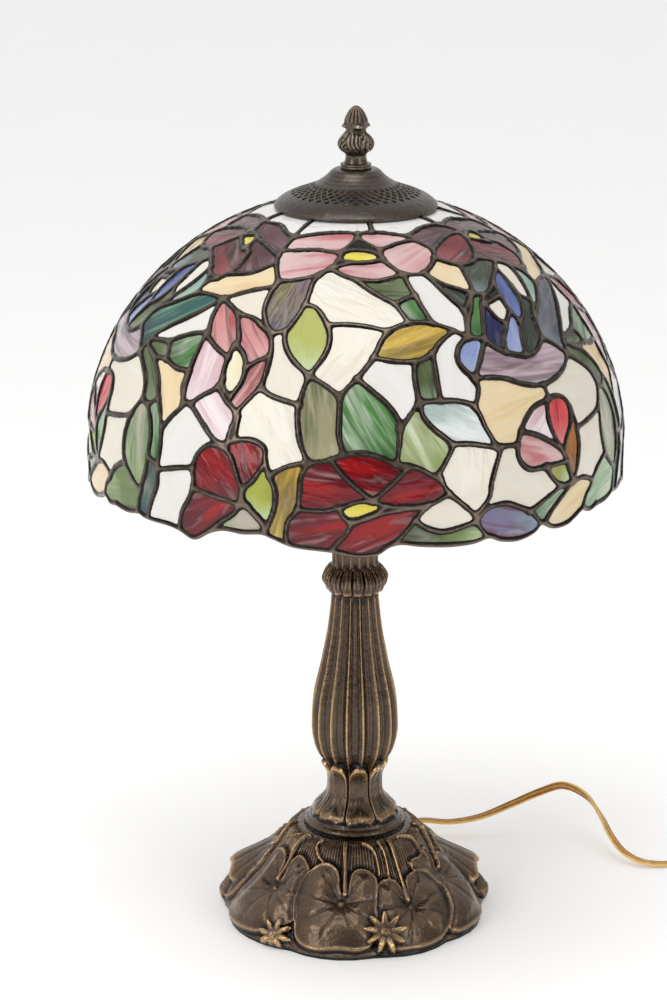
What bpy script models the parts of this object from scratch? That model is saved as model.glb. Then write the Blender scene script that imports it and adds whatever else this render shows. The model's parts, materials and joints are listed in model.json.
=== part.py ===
"""Stained glass table lamp: a domed leaded shade on a harp, over a bronze lily-pad foot and fluted column.

Metres, +Z up. The origin is on the lamp's axis, on the table top. The lamp's front faces -Y.
"""

import math

import bmesh
import bpy
from mathutils import Matrix, Vector

MM = 0.001
FIT_GAP = 0.3 * MM

# Driving dimensions
SHADE_RADIUS = 152.4 * MM
SHADE_RIM_Z = 271 * MM
SHADE_SHOULDER_Z = 298.6 * MM
SHADE_CROWN_RISE = 132.2 * MM
SHADE_FULLNESS = 2.115
SHADE_CROWN_ROUNDNESS = 1.7988
CROWN_HOLE_RADIUS = 40 * MM
SECTORS = 10
GLASS_ROWS = 2
LINES_ACROSS_PANEL = 3
COLUMNS_PER_PANEL = 4
CAME_WIDTH = 5 * MM
CAME_DEPTH = 3.6 * MM
GLASS_INSET = 0.5 * MM
GLASS_THICKNESS = 2.6 * MM
GLASS_GAP = 0.4 * MM

ROD_RADIUS = 4.9 * MM
ROD_BORE_RADIUS = 3.4 * MM
ROD_HOLE_RADIUS = 5.3 * MM
STUD_RADIUS = 3.1 * MM
STUD_HOLE_RADIUS = 3.6 * MM

FOOT_BOTTOM_Z = 1.5 * MM
FOOT_SEAT_Z = 54.5 * MM
FOOT_WALL = 3.5 * MM
FOOT_STEPS = 48
SCALLOP_REACH = 4.2 * MM
SCALLOP_HEIGHT = 34 * MM
SCALLOP_MEAN = 0.55
FELT_INSET = 1.5 * MM
FELT_THICKNESS = 1.2 * MM
COLUMN_BOTTOM_Z = 54.8 * MM
COLUMN_TOP_Z = 232 * MM
COLUMN_WALL = 3.2 * MM
FLUTES = 16
FLUTE_RIDGE = 1.2 * MM

HARP_HALF_GAP = 28 * MM
HARP_WIRE_RADIUS = 1.6 * MM
HARP_FOOT_Z = 256.3 * MM
HARP_CREST_Z = 439.5 * MM
SADDLE_Z = 241.1 * MM
SADDLE_THICKNESS = 1.5 * MM

CORD_HALF_WIDTH = 2.6 * MM
CORD_LOBE_RADIUS = 1.3 * MM
CORD_REST_Z = 1.7 * MM
CORD_HOLE_Z = 8.5 * MM
CORD_HOLE_RADIUS = 4.3 * MM
CORD_HOLE_AZIMUTH = 162

SWITCH_CENTRE = Vector((0.245, 0.066, 0))
SWITCH_LENGTH = 54 * MM
SWITCH_WIDTH = 23 * MM
SWITCH_SPLIT_Z = 8 * MM
SWITCH_HALF_THICKNESS = 7.6 * MM
SWITCH_CORD_REACH = 20 * MM
COIL_CENTRE = Vector((0.264, -0.021, 0))
COIL_RADIUS = 70 * MM
COIL_CLOSING = 14 * MM
PLUG_THICKNESS = 10 * MM
PLUG_MIDDLE_Z = 5.4 * MM

# Water-lily pads round the foot: (azimuth of its middle, half the angle it spans), in degrees from the front
PADS = (
    (-10, 22), (28, 19), (63, 21), (101, 15), (131, 20), (170, 24), (-152, 18), (-122, 18), (-96, 14),
    (-56, 28),
)

BRONZE = ((0.105, 0.072, 0.045), 0.42, 1.0)
DARK_BRONZE = ((0.060, 0.050, 0.043), 0.45, 1.0)
SOLDER = ((0.070, 0.062, 0.052), 0.40, 1.0)
BRASS = ((0.62, 0.46, 0.20), 0.30, 1.0)
STEEL = ((0.55, 0.55, 0.56), 0.35, 1.0)
GLASS_TINTS = (
    ((0.86, 0.80, 0.68), 0.12, 0.0),
    ((0.42, 0.50, 0.28), 0.12, 0.0),
    ((0.72, 0.36, 0.36), 0.12, 0.0),
    ((0.76, 0.52, 0.24), 0.12, 0.0),
    ((0.52, 0.40, 0.48), 0.12, 0.0),
    ((0.40, 0.48, 0.62), 0.12, 0.0),
)
BULB_GLASS = ((0.92, 0.92, 0.90), 0.25, 0.0)
PHENOLIC = ((0.030, 0.028, 0.028), 0.45, 0.0)
GOLD_CORD = ((0.68, 0.45, 0.13), 0.22, 0.0)
FELT = ((0.045, 0.070, 0.050), 0.95, 0.0)
FIBRE = ((0.42, 0.30, 0.18), 0.80, 0.0)
IRON = ((0.16, 0.16, 0.17), 0.60, 1.0)
SWITCH_BROWN = ((0.16, 0.085, 0.035), 0.35, 0.0)

lamp = bpy.data.collections.new("stained_glass_lamp")
cutters = bpy.data.collections.new("cutters")


# ---------------------------------------------------------------- scene and materials

def clear_scene():
    for obj in list(bpy.data.objects):
        bpy.data.objects.remove(obj)
    for collection in (lamp, cutters):
        bpy.context.scene.collection.children.link(collection)


def finish(obj, look, smooth=True):
    """Gives the object the material of its look and rounds its shading."""
    colour, roughness, metallic = look
    material = bpy.data.materials.new(obj.name)
    material.use_nodes = True
    shader = material.node_tree.nodes["Principled BSDF"]
    shader.inputs["Base Color"].default_value = (*colour, 1)
    shader.inputs["Roughness"].default_value = roughness
    shader.inputs["Metallic"].default_value = metallic
    obj.data.materials.append(material)
    if smooth and obj.type == "MESH":
        obj.data.shade_smooth()
        obj.data.set_sharp_from_angle(angle=math.radians(35))
    return obj


def mesh_object(name, bm, collection=lamp):
    mesh = bpy.data.meshes.new(name)
    bm.to_mesh(mesh)
    bm.free()
    obj = bpy.data.objects.new(name, mesh)
    collection.objects.link(obj)
    return obj


def as_cutter(obj):
    obj.hide_render = True
    obj.display_type = "WIRE"
    return obj


def boolean(obj, other, operation="DIFFERENCE"):
    modifier = obj.modifiers.new(operation.lower(), "BOOLEAN")
    modifier.operation = operation
    modifier.object = other


# ---------------------------------------------------------------- shape helpers

def on_axis(radius, degrees, z=0.0):
    """A point at this radius and azimuth; azimuth 0 is the lamp's front, -Y, and 90 is its right, +X."""
    angle = math.radians(degrees)
    return Vector((radius * math.sin(angle), -radius * math.cos(angle), z))


def turned(name, profile, look, steps=20, centre=(0, 0, 0)):
    """A turned solid. Profile points are (radius, z) in mm, down the outer side and back up the bore."""
    bored = profile[0][0] > 0 or profile[-1][0] > 0
    bm = bmesh.new()
    corners = [bm.verts.new((r * MM, 0, z * MM)) for r, z in profile]
    for a, b in zip(corners, corners[1:]):
        bm.edges.new((a, b))
    if bored:
        bm.edges.new((corners[-1], corners[0]))
    obj = mesh_object(name, bm)
    obj.location = centre
    screw = obj.modifiers.new("turn", "SCREW")
    screw.steps = screw.render_steps = steps
    screw.use_merge_vertices = True
    screw.merge_threshold = 0.00001
    screw.use_smooth_shade = True
    return finish(obj, look, smooth=False)


def washer(name, outer, inner, z_low, z_high, look, steps=20):
    """A plain ring; all sizes are in millimetres."""
    return turned(name, [(outer, z_high), (outer, z_low), (inner, z_low), (inner, z_high)], look, steps)


def lofted_ring(name, sections, look):
    """A solid with a bore: closed sections of equal point count, in order round the wall."""
    bm = bmesh.new()
    rows = [[bm.verts.new(p) for p in section] for section in sections]
    for row, after in zip(rows, rows[1:] + rows[:1]):
        for i in range(len(row)):
            j = (i + 1) % len(row)
            bm.faces.new((row[i], row[j], after[j], after[i]))
    bmesh.ops.recalc_face_normals(bm, faces=bm.faces)
    return finish(mesh_object(name, bm), look)


def cylinder(name, radius, depth, centre, axis=(0, 0, 1), collection=lamp, steps=24):
    bm = bmesh.new()
    bmesh.ops.create_cone(bm, cap_ends=True, segments=steps, radius1=radius, radius2=radius, depth=depth)
    obj = mesh_object(name, bm, collection)
    turn = Vector((0, 0, 1)).rotation_difference(Vector(axis)).to_matrix().to_4x4()
    obj.data.transform(turn)
    obj.location = centre
    return obj


def box(name, size, centre, collection=lamp):
    bm = bmesh.new()
    bmesh.ops.create_cube(bm, size=1)
    bmesh.ops.scale(bm, vec=size, verts=bm.verts)
    obj = mesh_object(name, bm, collection)
    obj.location = centre
    return obj


def flat_plate(name, outlines, thickness, z_middle):
    """A flat plate from closed outlines, the later ones holes, as a mesh ready for Booleans."""
    curve = bpy.data.curves.new(name, "CURVE")
    curve.dimensions = "2D"
    curve.fill_mode = "BOTH"
    curve.extrude = thickness / 2
    for outline in outlines:
        spline = curve.splines.new("POLY")
        spline.points.add(len(outline) - 1)
        for point, (x, y) in zip(spline.points, outline):
            point.co = (x, y, 0, 1)
        spline.use_cyclic_u = True
    source = bpy.data.objects.new(name + "_outline", curve)
    lamp.objects.link(source)
    source.location = (0, 0, z_middle)
    bpy.context.view_layer.update()
    graph = bpy.context.evaluated_depsgraph_get()
    mesh = bpy.data.meshes.new_from_object(source.evaluated_get(graph))
    mesh.transform(source.matrix_world)
    bpy.data.objects.remove(source)
    bm = bmesh.new()
    bm.from_mesh(mesh)
    bmesh.ops.remove_doubles(bm, verts=bm.verts, dist=0.00001)
    bmesh.ops.recalc_face_normals(bm, faces=bm.faces)
    bm.to_mesh(mesh)
    bm.free()
    obj = bpy.data.objects.new(name, mesh)
    lamp.objects.link(obj)
    return obj


def circle(radius, steps=24, centre=(0, 0)):
    angles = [math.tau * i / steps for i in range(steps)]
    return [(centre[0] + radius * math.cos(angle), centre[1] + radius * math.sin(angle)) for angle in angles]


def rounded_rectangle(length, width, corner, steps=4):
    points = []
    for quadrant, (sx, sy) in enumerate(((1, 1), (-1, 1), (-1, -1), (1, -1))):
        for i in range(steps + 1):
            angle = math.radians(90 * (quadrant + i / steps))
            points.append((
                sx * (length / 2 - corner) + corner * math.cos(angle),
                sy * (width / 2 - corner) + corner * math.sin(angle),
            ))
    return points


def interpolate(xs, ys, x):
    if x <= xs[0]:
        return ys[0]
    for x0, x1, y0, y1 in zip(xs, xs[1:], ys, ys[1:]):
        if x <= x1:
            return y0 + (y1 - y0) * (x - x0) / (x1 - x0)
    return ys[-1]


def through(points, steps):
    """A smooth path through the points, by Catmull-Rom, with this many steps between each two."""
    ends = [points[0] * 2 - points[1], *points, points[-1] * 2 - points[-2]]
    path = []
    for p0, p1, p2, p3 in zip(ends, ends[1:], ends[2:], ends[3:]):
        for i in range(steps):
            t = i / steps
            path.append(0.5 * (
                2 * p1 + (p2 - p0) * t + (2 * p0 - 5 * p1 + 4 * p2 - p3) * t * t
                + (3 * p1 - p0 - 3 * p2 + p3) * t ** 3
            ))
    return path + [points[-1]]


def flat_cord(name, path, look):
    """Twin-lobed lamp cord swept along a path, lying flat wherever the path is not vertical."""
    w, r = CORD_HALF_WIDTH, CORD_LOBE_RADIUS
    section = ((w, 0), (w / 2, r), (-w / 2, r), (-w, 0), (-w / 2, -r), (w / 2, -r))
    bm = bmesh.new()
    side = None
    rows = []
    for i, point in enumerate(path):
        along = (path[min(i + 1, len(path) - 1)] - path[max(i - 1, 0)]).normalized()
        level = Vector((0, 0, 1)).cross(along)
        if level.length > 0.5 or side is None:
            side = level.normalized()
        side = (side - along * side.dot(along)).normalized()
        rise = along.cross(side)
        rows.append([bm.verts.new(point + side * x + rise * y) for x, y in section])
    for row, after in zip(rows, rows[1:]):
        for i in range(len(section)):
            j = (i + 1) % len(section)
            bm.faces.new((row[i], row[j], after[j], after[i]))
    bm.faces.new(rows[0])
    bm.faces.new(rows[-1])
    bmesh.ops.recalc_face_normals(bm, faces=bm.faces)
    return finish(mesh_object(name, bm), look)


# ---------------------------------------------------------------- foot and column

def bell_radius(z):
    """Radius of the foot's bell under its lily pads."""
    heights = (1.5, 10, 20, 30, 40, 48, 54.5)
    radii = (78.0, 72.5, 65.0, 56.5, 47.5, 42.0, 36.5)
    return interpolate(heights, radii, z / MM) * MM


def pad_lobe(degrees):
    """0 between the pads and 1 at a pad's middle."""
    best = 0.0
    for middle, half in PADS:
        away = (degrees - middle + 180) % 360 - 180
        best = max(best, 1 - (away / half) ** 2)
    return best


def foot_section(z, inward=0.0):
    """The foot's scalloped section at a height; the scallops fade towards the top."""
    fade = max(0.0, 1 - (z - FOOT_BOTTOM_Z) / SCALLOP_HEIGHT)
    points = []
    for i in range(FOOT_STEPS):
        degrees = 360 * i / FOOT_STEPS
        scallop = (pad_lobe(degrees) - SCALLOP_MEAN) * SCALLOP_REACH * fade
        points.append(on_axis(bell_radius(z) + scallop - inward, degrees, z))
    return points


def ring_section(radius, z, steps):
    return [on_axis(radius, 360 * i / steps, z) for i in range(steps)]


def make_foot():
    """A thin cast bell, open below, with a seat for the column, a rod hole and a cord hole at the back."""
    crown_radius = 35 * MM
    inner_crown_radius = 31 * MM
    seat_underside = FOOT_SEAT_Z - FOOT_WALL
    sections = [foot_section(z * MM) for z in (1.5, 6, 15, 26, 37, 48)]
    sections.append(ring_section(crown_radius, FOOT_SEAT_Z, FOOT_STEPS))
    sections.append(ring_section(ROD_HOLE_RADIUS, FOOT_SEAT_Z, FOOT_STEPS))
    sections.append(ring_section(ROD_HOLE_RADIUS, seat_underside, FOOT_STEPS))
    sections.append(ring_section(inner_crown_radius, seat_underside, FOOT_STEPS))
    sections += [foot_section(z * MM, FOOT_WALL) for z in (37, 15, 1.5)]
    foot = lofted_ring("base_casting", sections, BRONZE)
    outward = on_axis(1, CORD_HOLE_AZIMUTH)
    middle = on_axis(75 * MM, CORD_HOLE_AZIMUTH, CORD_HOLE_Z)
    hole = cylinder("cord_hole", CORD_HOLE_RADIUS, 30 * MM, middle, outward, cutters)
    boolean(foot, as_cutter(hole))


def make_column():
    """Fluted baluster with a round foot, lily leaves round its neck and a gadrooned knop under the shade."""
    steps = FLUTES * 2
    outline = (
        (28.9, 54.8, 0), (29.2, 58.0, 0), (26.0, 63.0, 0), (18.6, 71.0, 0), (16.7, 79.0, 0),
        (18.6, 88.5, 0), (22.8, 103.0, 1), (24.6, 117.0, 1), (23.4, 134.0, 1), (19.2, 154.0, 1),
        (15.3, 173.5, 1), (13.0, 192.0, 1),
        (13.3, 198.5, 1), (18.3, 207.0, 0.6), (13.0, 216.0, 1), (12.9, 227.0, 1), (15.5, 232.0, 0.3),
    )
    sections = []
    for radius, z, fluted in outline:
        section = []
        for i in range(steps):
            ridge = FLUTE_RIDGE * fluted * (0.5 if i % 2 == 0 else -0.5)
            section.append(on_axis(radius * MM + ridge, 360 * (i + 1) / steps, z * MM))
        sections.append(section)
    sections.append(ring_section(ROD_HOLE_RADIUS, COLUMN_TOP_Z, steps))
    sections.append(ring_section(ROD_HOLE_RADIUS, COLUMN_TOP_Z - COLUMN_WALL, steps))
    inner = ((9.2, 226), (9.2, 193), (16, 150), (20.4, 120), (13.2, 82), (17.5, 64))
    sections += [ring_section(r * MM, z * MM, steps) for r, z in inner]
    sections.append(ring_section(ROD_HOLE_RADIUS, COLUMN_BOTTOM_Z + 5.2 * MM, steps))
    sections.append(ring_section(ROD_HOLE_RADIUS, COLUMN_BOTTOM_Z, steps))
    lofted_ring("column_casting", sections, BRONZE)


def make_foot_fittings():
    """What closes the foot and clamps the lamp together along its threaded rod."""
    underside = [(point.x, point.y) for point in foot_section(FOOT_BOTTOM_Z, FELT_INSET)]
    pad = flat_plate("felt_pad", [underside], FELT_THICKNESS, FELT_THICKNESS / 2)
    finish(pad, FELT, smooth=False)
    washer("ballast_plate", 55, ROD_HOLE_RADIUS / MM, 20, 25, IRON, 24)
    washer("rod_lock_washer", 9, 5.3, 18.5, 19.7, STEEL)
    nut = flat_plate("rod_nut", [circle(8.2 * MM, 6), circle(ROD_HOLE_RADIUS, 16)], 5.5 * MM, 15.45 * MM)
    finish(nut, BRASS, smooth=False)
    washer("lamp_rod", ROD_RADIUS / MM, ROD_BORE_RADIUS / MM, 11, 254, BRASS)
    cup = [(8.0, 240), (14.5, 238.6), (17.6, 236.2), (18.0, 233.2), (17.2, 232.3), (5.3, 232.3), (5.3, 240)]
    turned("column_top_cup", cup, BRASS, 24)
    bushing = washer("cord_bushing", 4.0, 3.25, -8, 8, PHENOLIC, 16)
    outward = on_axis(1, CORD_HOLE_AZIMUTH)
    bushing.rotation_mode = "QUATERNION"
    bushing.rotation_quaternion = Vector((0, 0, 1)).rotation_difference(outward)
    bushing.location = on_axis(74 * MM, CORD_HOLE_AZIMUTH, CORD_HOLE_Z)


# ---------------------------------------------------------------- socket, bulb and harp

def make_socket():
    """The harp's saddle, the socket's nested parts from outside in, and the bulb in its screw base."""
    reach, half_width = 31 * MM, 5 * MM
    strap = [(-reach, -half_width), (reach, -half_width), (reach, half_width), (-reach, half_width)]
    saddle = flat_plate("harp_saddle", [strap, circle(ROD_HOLE_RADIUS, 16)], SADDLE_THICKNESS, SADDLE_Z)
    for side in (-1, 1):
        top = HARP_FOOT_Z - FIT_GAP
        bottom = SADDLE_Z - 0.3 * MM
        middle = (side * HARP_HALF_GAP, 0, (top + bottom) / 2)
        name = f"saddle_post_{side}"
        post = cylinder(name, HARP_WIRE_RADIUS, top - bottom, middle, collection=cutters, steps=12)
        boolean(saddle, as_cutter(post), "UNION")
    finish(saddle, BRASS, smooth=False)
    cap = [
        (5.3, 247.4), (12.4, 249.2), (16.9, 256), (17.8, 256), (17, 251.5), (13, 247.5), (7.5, 246),
        (7.5, 242.2), (5.3, 242.2),
    ]
    turned("socket_cap", cap, BRASS, 24)
    washer("socket_shell", 17.8, 17.2, 256.3, 292, BRASS, 24)
    washer("socket_liner", 16.8, 16.1, 256.8, 291, FIBRE, 24)
    insulator = [(15.8, 266), (15.8, 257), (3.5, 257), (3.5, 262.5), (6, 262.5), (6, 266)]
    turned("socket_insulator", insulator, PHENOLIC, 24)
    washer("socket_screw_shell", 14.5, 13.8, 266.3, 289, BRASS, 24)
    base = [(0, 293.5), (13.1, 293.5), (13.1, 272), (9.5, 269.5), (5, 267.5), (0, 267.5)]
    turned("bulb_screw_base", base, BRASS, 24)
    globe = [
        (0, 377.3), (12, 375.0), (22, 367.5), (28, 357.5), (30, 346), (28, 333.5), (23, 321), (17.5, 307.5),
        (13.4, 293.8), (0, 293.8),
    ]
    turned("bulb_globe", globe, BULB_GLASS, 24)


def make_harp():
    """A two-legged wire harp: straight feet in the saddle, a bow round the bulb, a crest under the stud."""
    half = [
        (HARP_HALF_GAP, HARP_FOOT_Z), (HARP_HALF_GAP, 284 * MM), (33 * MM, 298 * MM), (44 * MM, 318 * MM),
        (51 * MM, 342 * MM), (52 * MM, 364 * MM), (47 * MM, 388 * MM), (36 * MM, 410 * MM),
        (22 * MM, 427 * MM), (12 * MM, 436 * MM), (6 * MM, HARP_CREST_Z), (0, HARP_CREST_Z),
    ]
    right = [Vector((x, 0, z)) for x, z in half]
    left = [Vector((-p.x, 0, p.z)) for p in reversed(right[:-1])]
    bow = [right[0]] + through(right[1:] + left[:-1], 2) + [left[-1]]
    curve = bpy.data.curves.new("harp_wire", "CURVE")
    curve.dimensions = "3D"
    curve.bevel_depth = HARP_WIRE_RADIUS
    curve.bevel_resolution = 1
    curve.use_fill_caps = True
    spline = curve.splines.new("POLY")
    spline.points.add(len(bow) - 1)
    for point, place in zip(spline.points, bow):
        point.co = (*place, 1)
    wire = bpy.data.objects.new("harp_wire", curve)
    lamp.objects.link(wire)
    finish(wire, BRASS)
    shank = STUD_RADIUS / MM
    stud = [(0, 456.5), (shank, 456.5), (shank, 443.8), (8, 443.8), (8, 441.5), (0, 441.5)]
    turned("harp_stud", stud, BRASS)
    for name, side in (("harp_sleeve_left", -1), ("harp_sleeve_right", 1)):
        sleeve = washer(name, 3.0, 2.1, 249, 263, BRASS, 16)
        sleeve.location = (side * HARP_HALF_GAP, 0, 0)
    washer("seat_washer", 9.5, STUD_HOLE_RADIUS / MM, 444.1, 445.2, FIBRE)


# ---------------------------------------------------------------- shade

def dome_z(radius):
    """Height of the shade's outer face above its shoulder."""
    share = max(0.0, 1 - (radius / SHADE_RADIUS) ** SHADE_FULLNESS)
    return SHADE_SHOULDER_Z + SHADE_CROWN_RISE * share ** (1 / SHADE_CROWN_ROUNDNESS)


def dome_profile(samples=400):
    """Points (radius, z) down the outer face from the crown hole to the rim, closer near the rim."""
    points = []
    for i in range(samples + 1):
        share = math.sin(math.pi / 2 * i / samples)
        radius = CROWN_HOLE_RADIUS + (SHADE_RADIUS - CROWN_HOLE_RADIUS) * share
        points.append((radius, dome_z(radius)))
    points.append((SHADE_RADIUS, SHADE_RIM_Z))
    return points


def arc_lengths(points):
    lengths = [0.0]
    for (r0, z0), (r1, z1) in zip(points, points[1:]):
        lengths.append(lengths[-1] + math.hypot(r1 - r0, z1 - z0))
    return lengths


PROFILE_RADII, PROFILE_HEIGHTS = zip(*dome_profile())
PROFILE_LENGTHS = arc_lengths(list(zip(PROFILE_RADII, PROFILE_HEIGHTS)))
DOME_LENGTH = PROFILE_LENGTHS[-1]


def on_dome(share):
    """(radius, z) at this share of the way from the crown hole to the rim, by arc length."""
    target = share * DOME_LENGTH
    radius = interpolate(PROFILE_LENGTHS, PROFILE_RADII, target)
    height = interpolate(PROFILE_LENGTHS, PROFILE_HEIGHTS, target)
    return radius, height


def dome_sheet(name, grid, keep, depth, inset, look):
    """A sheet over the dome, thickened inwards. Grid rows are lists of (share, degrees)."""
    bm = bmesh.new()
    rows = []
    for row in grid:
        radius, z = on_dome(row[0][0])
        rows.append([bm.verts.new(on_axis(radius, degrees, z)) for _, degrees in row])
    wraps = abs(grid[0][-1][1] - grid[0][0][1]) > 300
    columns = len(rows[0]) if wraps else len(rows[0]) - 1
    for i in range(len(rows) - 1):
        for j in range(columns):
            if keep(i, j):
                k = (j + 1) % len(rows[0])
                bm.faces.new((rows[i][j], rows[i + 1][j], rows[i + 1][k], rows[i][k]))
    bmesh.ops.delete(bm, geom=[v for v in bm.verts if not v.link_faces], context="VERTS")
    sheet = mesh_object(name, bm)
    for vertex in sheet.data.vertices:
        vertex.co -= outward_at(vertex.co) * inset
    solid = sheet.modifiers.new("thickness", "SOLIDIFY")
    solid.thickness = depth
    solid.offset = -1
    solid.use_even_offset = True
    return finish(sheet, look)


def outward_at(place):
    """The dome's outward normal at a point on it."""
    flat = Vector((place.x, place.y, 0)).normalized()
    if place.z < SHADE_SHOULDER_Z:
        return flat
    step = 0.2 * MM
    outer = min(flat.dot(place) + step, SHADE_RADIUS)
    slope = -(dome_z(outer) - dome_z(outer - 2 * step)) / (2 * step)
    return (flat * slope + Vector((0, 0, 1))).normalized()


def came_bands():
    """Shares down the dome of each came ring's upper and lower edge."""
    band = CAME_WIDTH / DOME_LENGTH
    lows = [ring * (1 - band) / GLASS_ROWS for ring in range(GLASS_ROWS + 1)]
    return [(low, low + band) for low in lows]


def spread(first, last, count):
    """This many equal steps from first up to last, without last."""
    return [first + (last - first) * k / count for k in range(count)]


def lattice_lines(bands):
    """Shares down the dome of the web's grid lines, and whether the strip below each is a came ring."""
    shares, is_ring = [], []
    for (low, high), after in zip(bands, [*bands[1:], None]):
        shares.append(low)
        is_ring.append(True)
        inside = spread(high, after[0], LINES_ACROSS_PANEL + 1) if after else [high]
        shares += inside
        is_ring += [False] * len(inside)
    return shares, is_ring


def make_shade():
    """Leaded glass: a web of solder came with one curved glass panel in each opening."""
    bands = came_bands()
    shares, is_ring = lattice_lines(bands)
    sector = 360 / SECTORS
    grid = []
    for share in shares:
        half_came = math.degrees(CAME_WIDTH / 2 / on_dome(share)[0])
        row = []
        for k in range(SECTORS):
            left, right = k * sector + half_came, (k + 1) * sector - half_came
            row += [(share, k * sector - half_came)]
            row += [(share, degrees) for degrees in spread(left, right, COLUMNS_PER_PANEL)]
        grid.append(row)
    per_sector = COLUMNS_PER_PANEL + 1

    def is_came(i, j):
        return is_ring[i] or j % per_sector == 0

    dome_sheet("solder_lattice", grid, is_came, CAME_DEPTH, 0, SOLDER)
    for level, row_name in enumerate(("upper", "lower")):
        low = bands[level][1] + GLASS_GAP / DOME_LENGTH
        high = bands[level + 1][0] - GLASS_GAP / DOME_LENGTH
        for k in range(SECTORS):
            tint = GLASS_TINTS[(3 * level + k) % len(GLASS_TINTS)]
            panel = glass_panel(low, high, k * sector, (k + 1) * sector)
            name = f"glass_{row_name}_{k + 1:02d}"
            dome_sheet(name, panel, lambda i, j: True, GLASS_THICKNESS, GLASS_INSET, tint)


def glass_panel(low, high, start, end):
    """The grid of one glass panel between two shares down the dome and the middles of two upright cames."""
    panel = []
    for share in [*spread(low, high, LINES_ACROSS_PANEL + 1), high]:
        margin = math.degrees((CAME_WIDTH / 2 + GLASS_GAP) / on_dome(share)[0])
        left, right = start + margin, end - margin
        panel.append([(share, degrees) for degrees in [*spread(left, right, COLUMNS_PER_PANEL), right]])
    return panel


def make_crown():
    """The pierced heat cap, the ring that stiffens the shade's top opening, and the rim's wire."""
    profile = (
        (3.6, 446.7), (11.5, 446.6), (13.2, 445.0), (19.0, 440.0), (23.5, 437.4), (27.5, 435.7),
        (31.0, 434.4), (35.0, 432.8), (42.0, 429.6), (45.9, 426.6),
    )
    steps = 32
    vent_bands = (4, 6)
    bm = bmesh.new()
    rows = []
    for radius, z in profile:
        rows.append([bm.verts.new(on_axis(radius * MM, 360 * i / steps, z * MM)) for i in range(steps)])
    for i in range(len(rows) - 1):
        for j in range(steps):
            if i in vent_bands and (j + i // 2) % 2 == 0:
                continue
            k = (j + 1) % steps
            bm.faces.new((rows[i][j], rows[i + 1][j], rows[i + 1][k], rows[i][k]))
    cap = mesh_object("heat_cap", bm)
    solid = cap.modifiers.new("thickness", "SOLIDIFY")
    solid.thickness = 1.1 * MM
    solid.offset = -1
    solid.use_even_offset = True
    finish(cap, DARK_BRONZE)
    washer("crown_ring", 38.9, 37.1, 423.0, 429.0, BRASS, 40)
    rim_radius, rim_z, wire = 151.4, 269.3, 1.3
    section = [(rim_radius + wire, rim_z), (rim_radius, rim_z - wire)]
    section += [(rim_radius - wire, rim_z), (rim_radius, rim_z + wire)]
    turned("rim_wire", section, SOLDER, 40)


def make_finial():
    washer("finial_washer", 8.8, STUD_HOLE_RADIUS / MM, 447.0, 449.6, BRONZE, 24)
    outline = [
        (0, 482), (1.6, 481.3), (3.0, 480), (4.4, 478), (5.4, 475.8), (6.3, 473.4), (7.7, 472.3),
        (8.0, 471.2), (6.4, 469), (6.3, 467), (8.0, 464.6), (9.4, 462.4), (9.8, 460.4), (9.0, 458.2),
        (6.6, 455.7), (5.9, 453.2),
        (6.7, 449.9), (3.5, 449.9), (3.5, 458.2), (0, 458.2),
    ]
    turned("finial", outline, BRONZE, 16)


# ---------------------------------------------------------------- cord, switch and plug

def make_cord():
    """The cord in two lengths: down the rod and over to the switch; then in a coil to the plug."""
    out = on_axis(1, CORD_HOLE_AZIMUTH)
    up = Vector((0, 0, 1))
    riser = [up * (z * MM) for z in (245, 130, 16)]
    turn_out = [up * (11.5 * MM)]
    bend = ((1.2, 8.2), (4.5, 6.4), (15, 6.2), (55, 7.8), (68, 8.5), (84, 8.5))
    turn_out += [(out * radius + up * z) * MM for radius, z in bend]
    arch = [
        (31, 97, 9), (43, 106, 9.5), (61, 105, 9), (80, 106, 12), (99, 111, 18), (118, 113, 26),
        (133, 114, 30), (147, 109, 25), (155, 94, 18), (160, 77, 12), (167, 64, 6.5), (178, 56, 3.2),
        (194, 56, 1.9), (204, 62, 3.4), (213, 66, 7.6),
    ]
    into_switch = SWITCH_CENTRE + Vector((-SWITCH_CORD_REACH, 0, SWITCH_SPLIT_Z))
    path = [*turn_out, *(Vector(point) * MM for point in arch), into_switch]
    flat_cord("cord_lamp_side", riser + through(path, 2), GOLD_CORD)

    start = SWITCH_CENTRE + Vector((SWITCH_CORD_REACH, 0, SWITCH_SPLIT_Z))
    leave = [start, start + Vector((15 * MM, 0, 0)), start + Vector((24 * MM, -1.5 * MM, -4.8 * MM))]
    spiral = []
    for i in range(2, 19):
        turn = i / 12
        angle = math.radians(90 - 360 * turn)
        radius = COIL_RADIUS - COIL_CLOSING * turn
        place = Vector((radius * math.cos(angle), radius * math.sin(angle), CORD_REST_Z))
        spiral.append(COIL_CENTRE + place)
    hook = [(-15, -39, 1.7), (-30, -28, 1.7), (-36, -13, 1.7), (-31, -2, 2.5), (-18, 1, 4.6), (-4, 0, 6)]
    tail = [COIL_CENTRE + Vector(place) * MM for place in hook]
    flat_cord("cord_plug_side", through(leave + spiral + tail, 2), GOLD_CORD)


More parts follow.
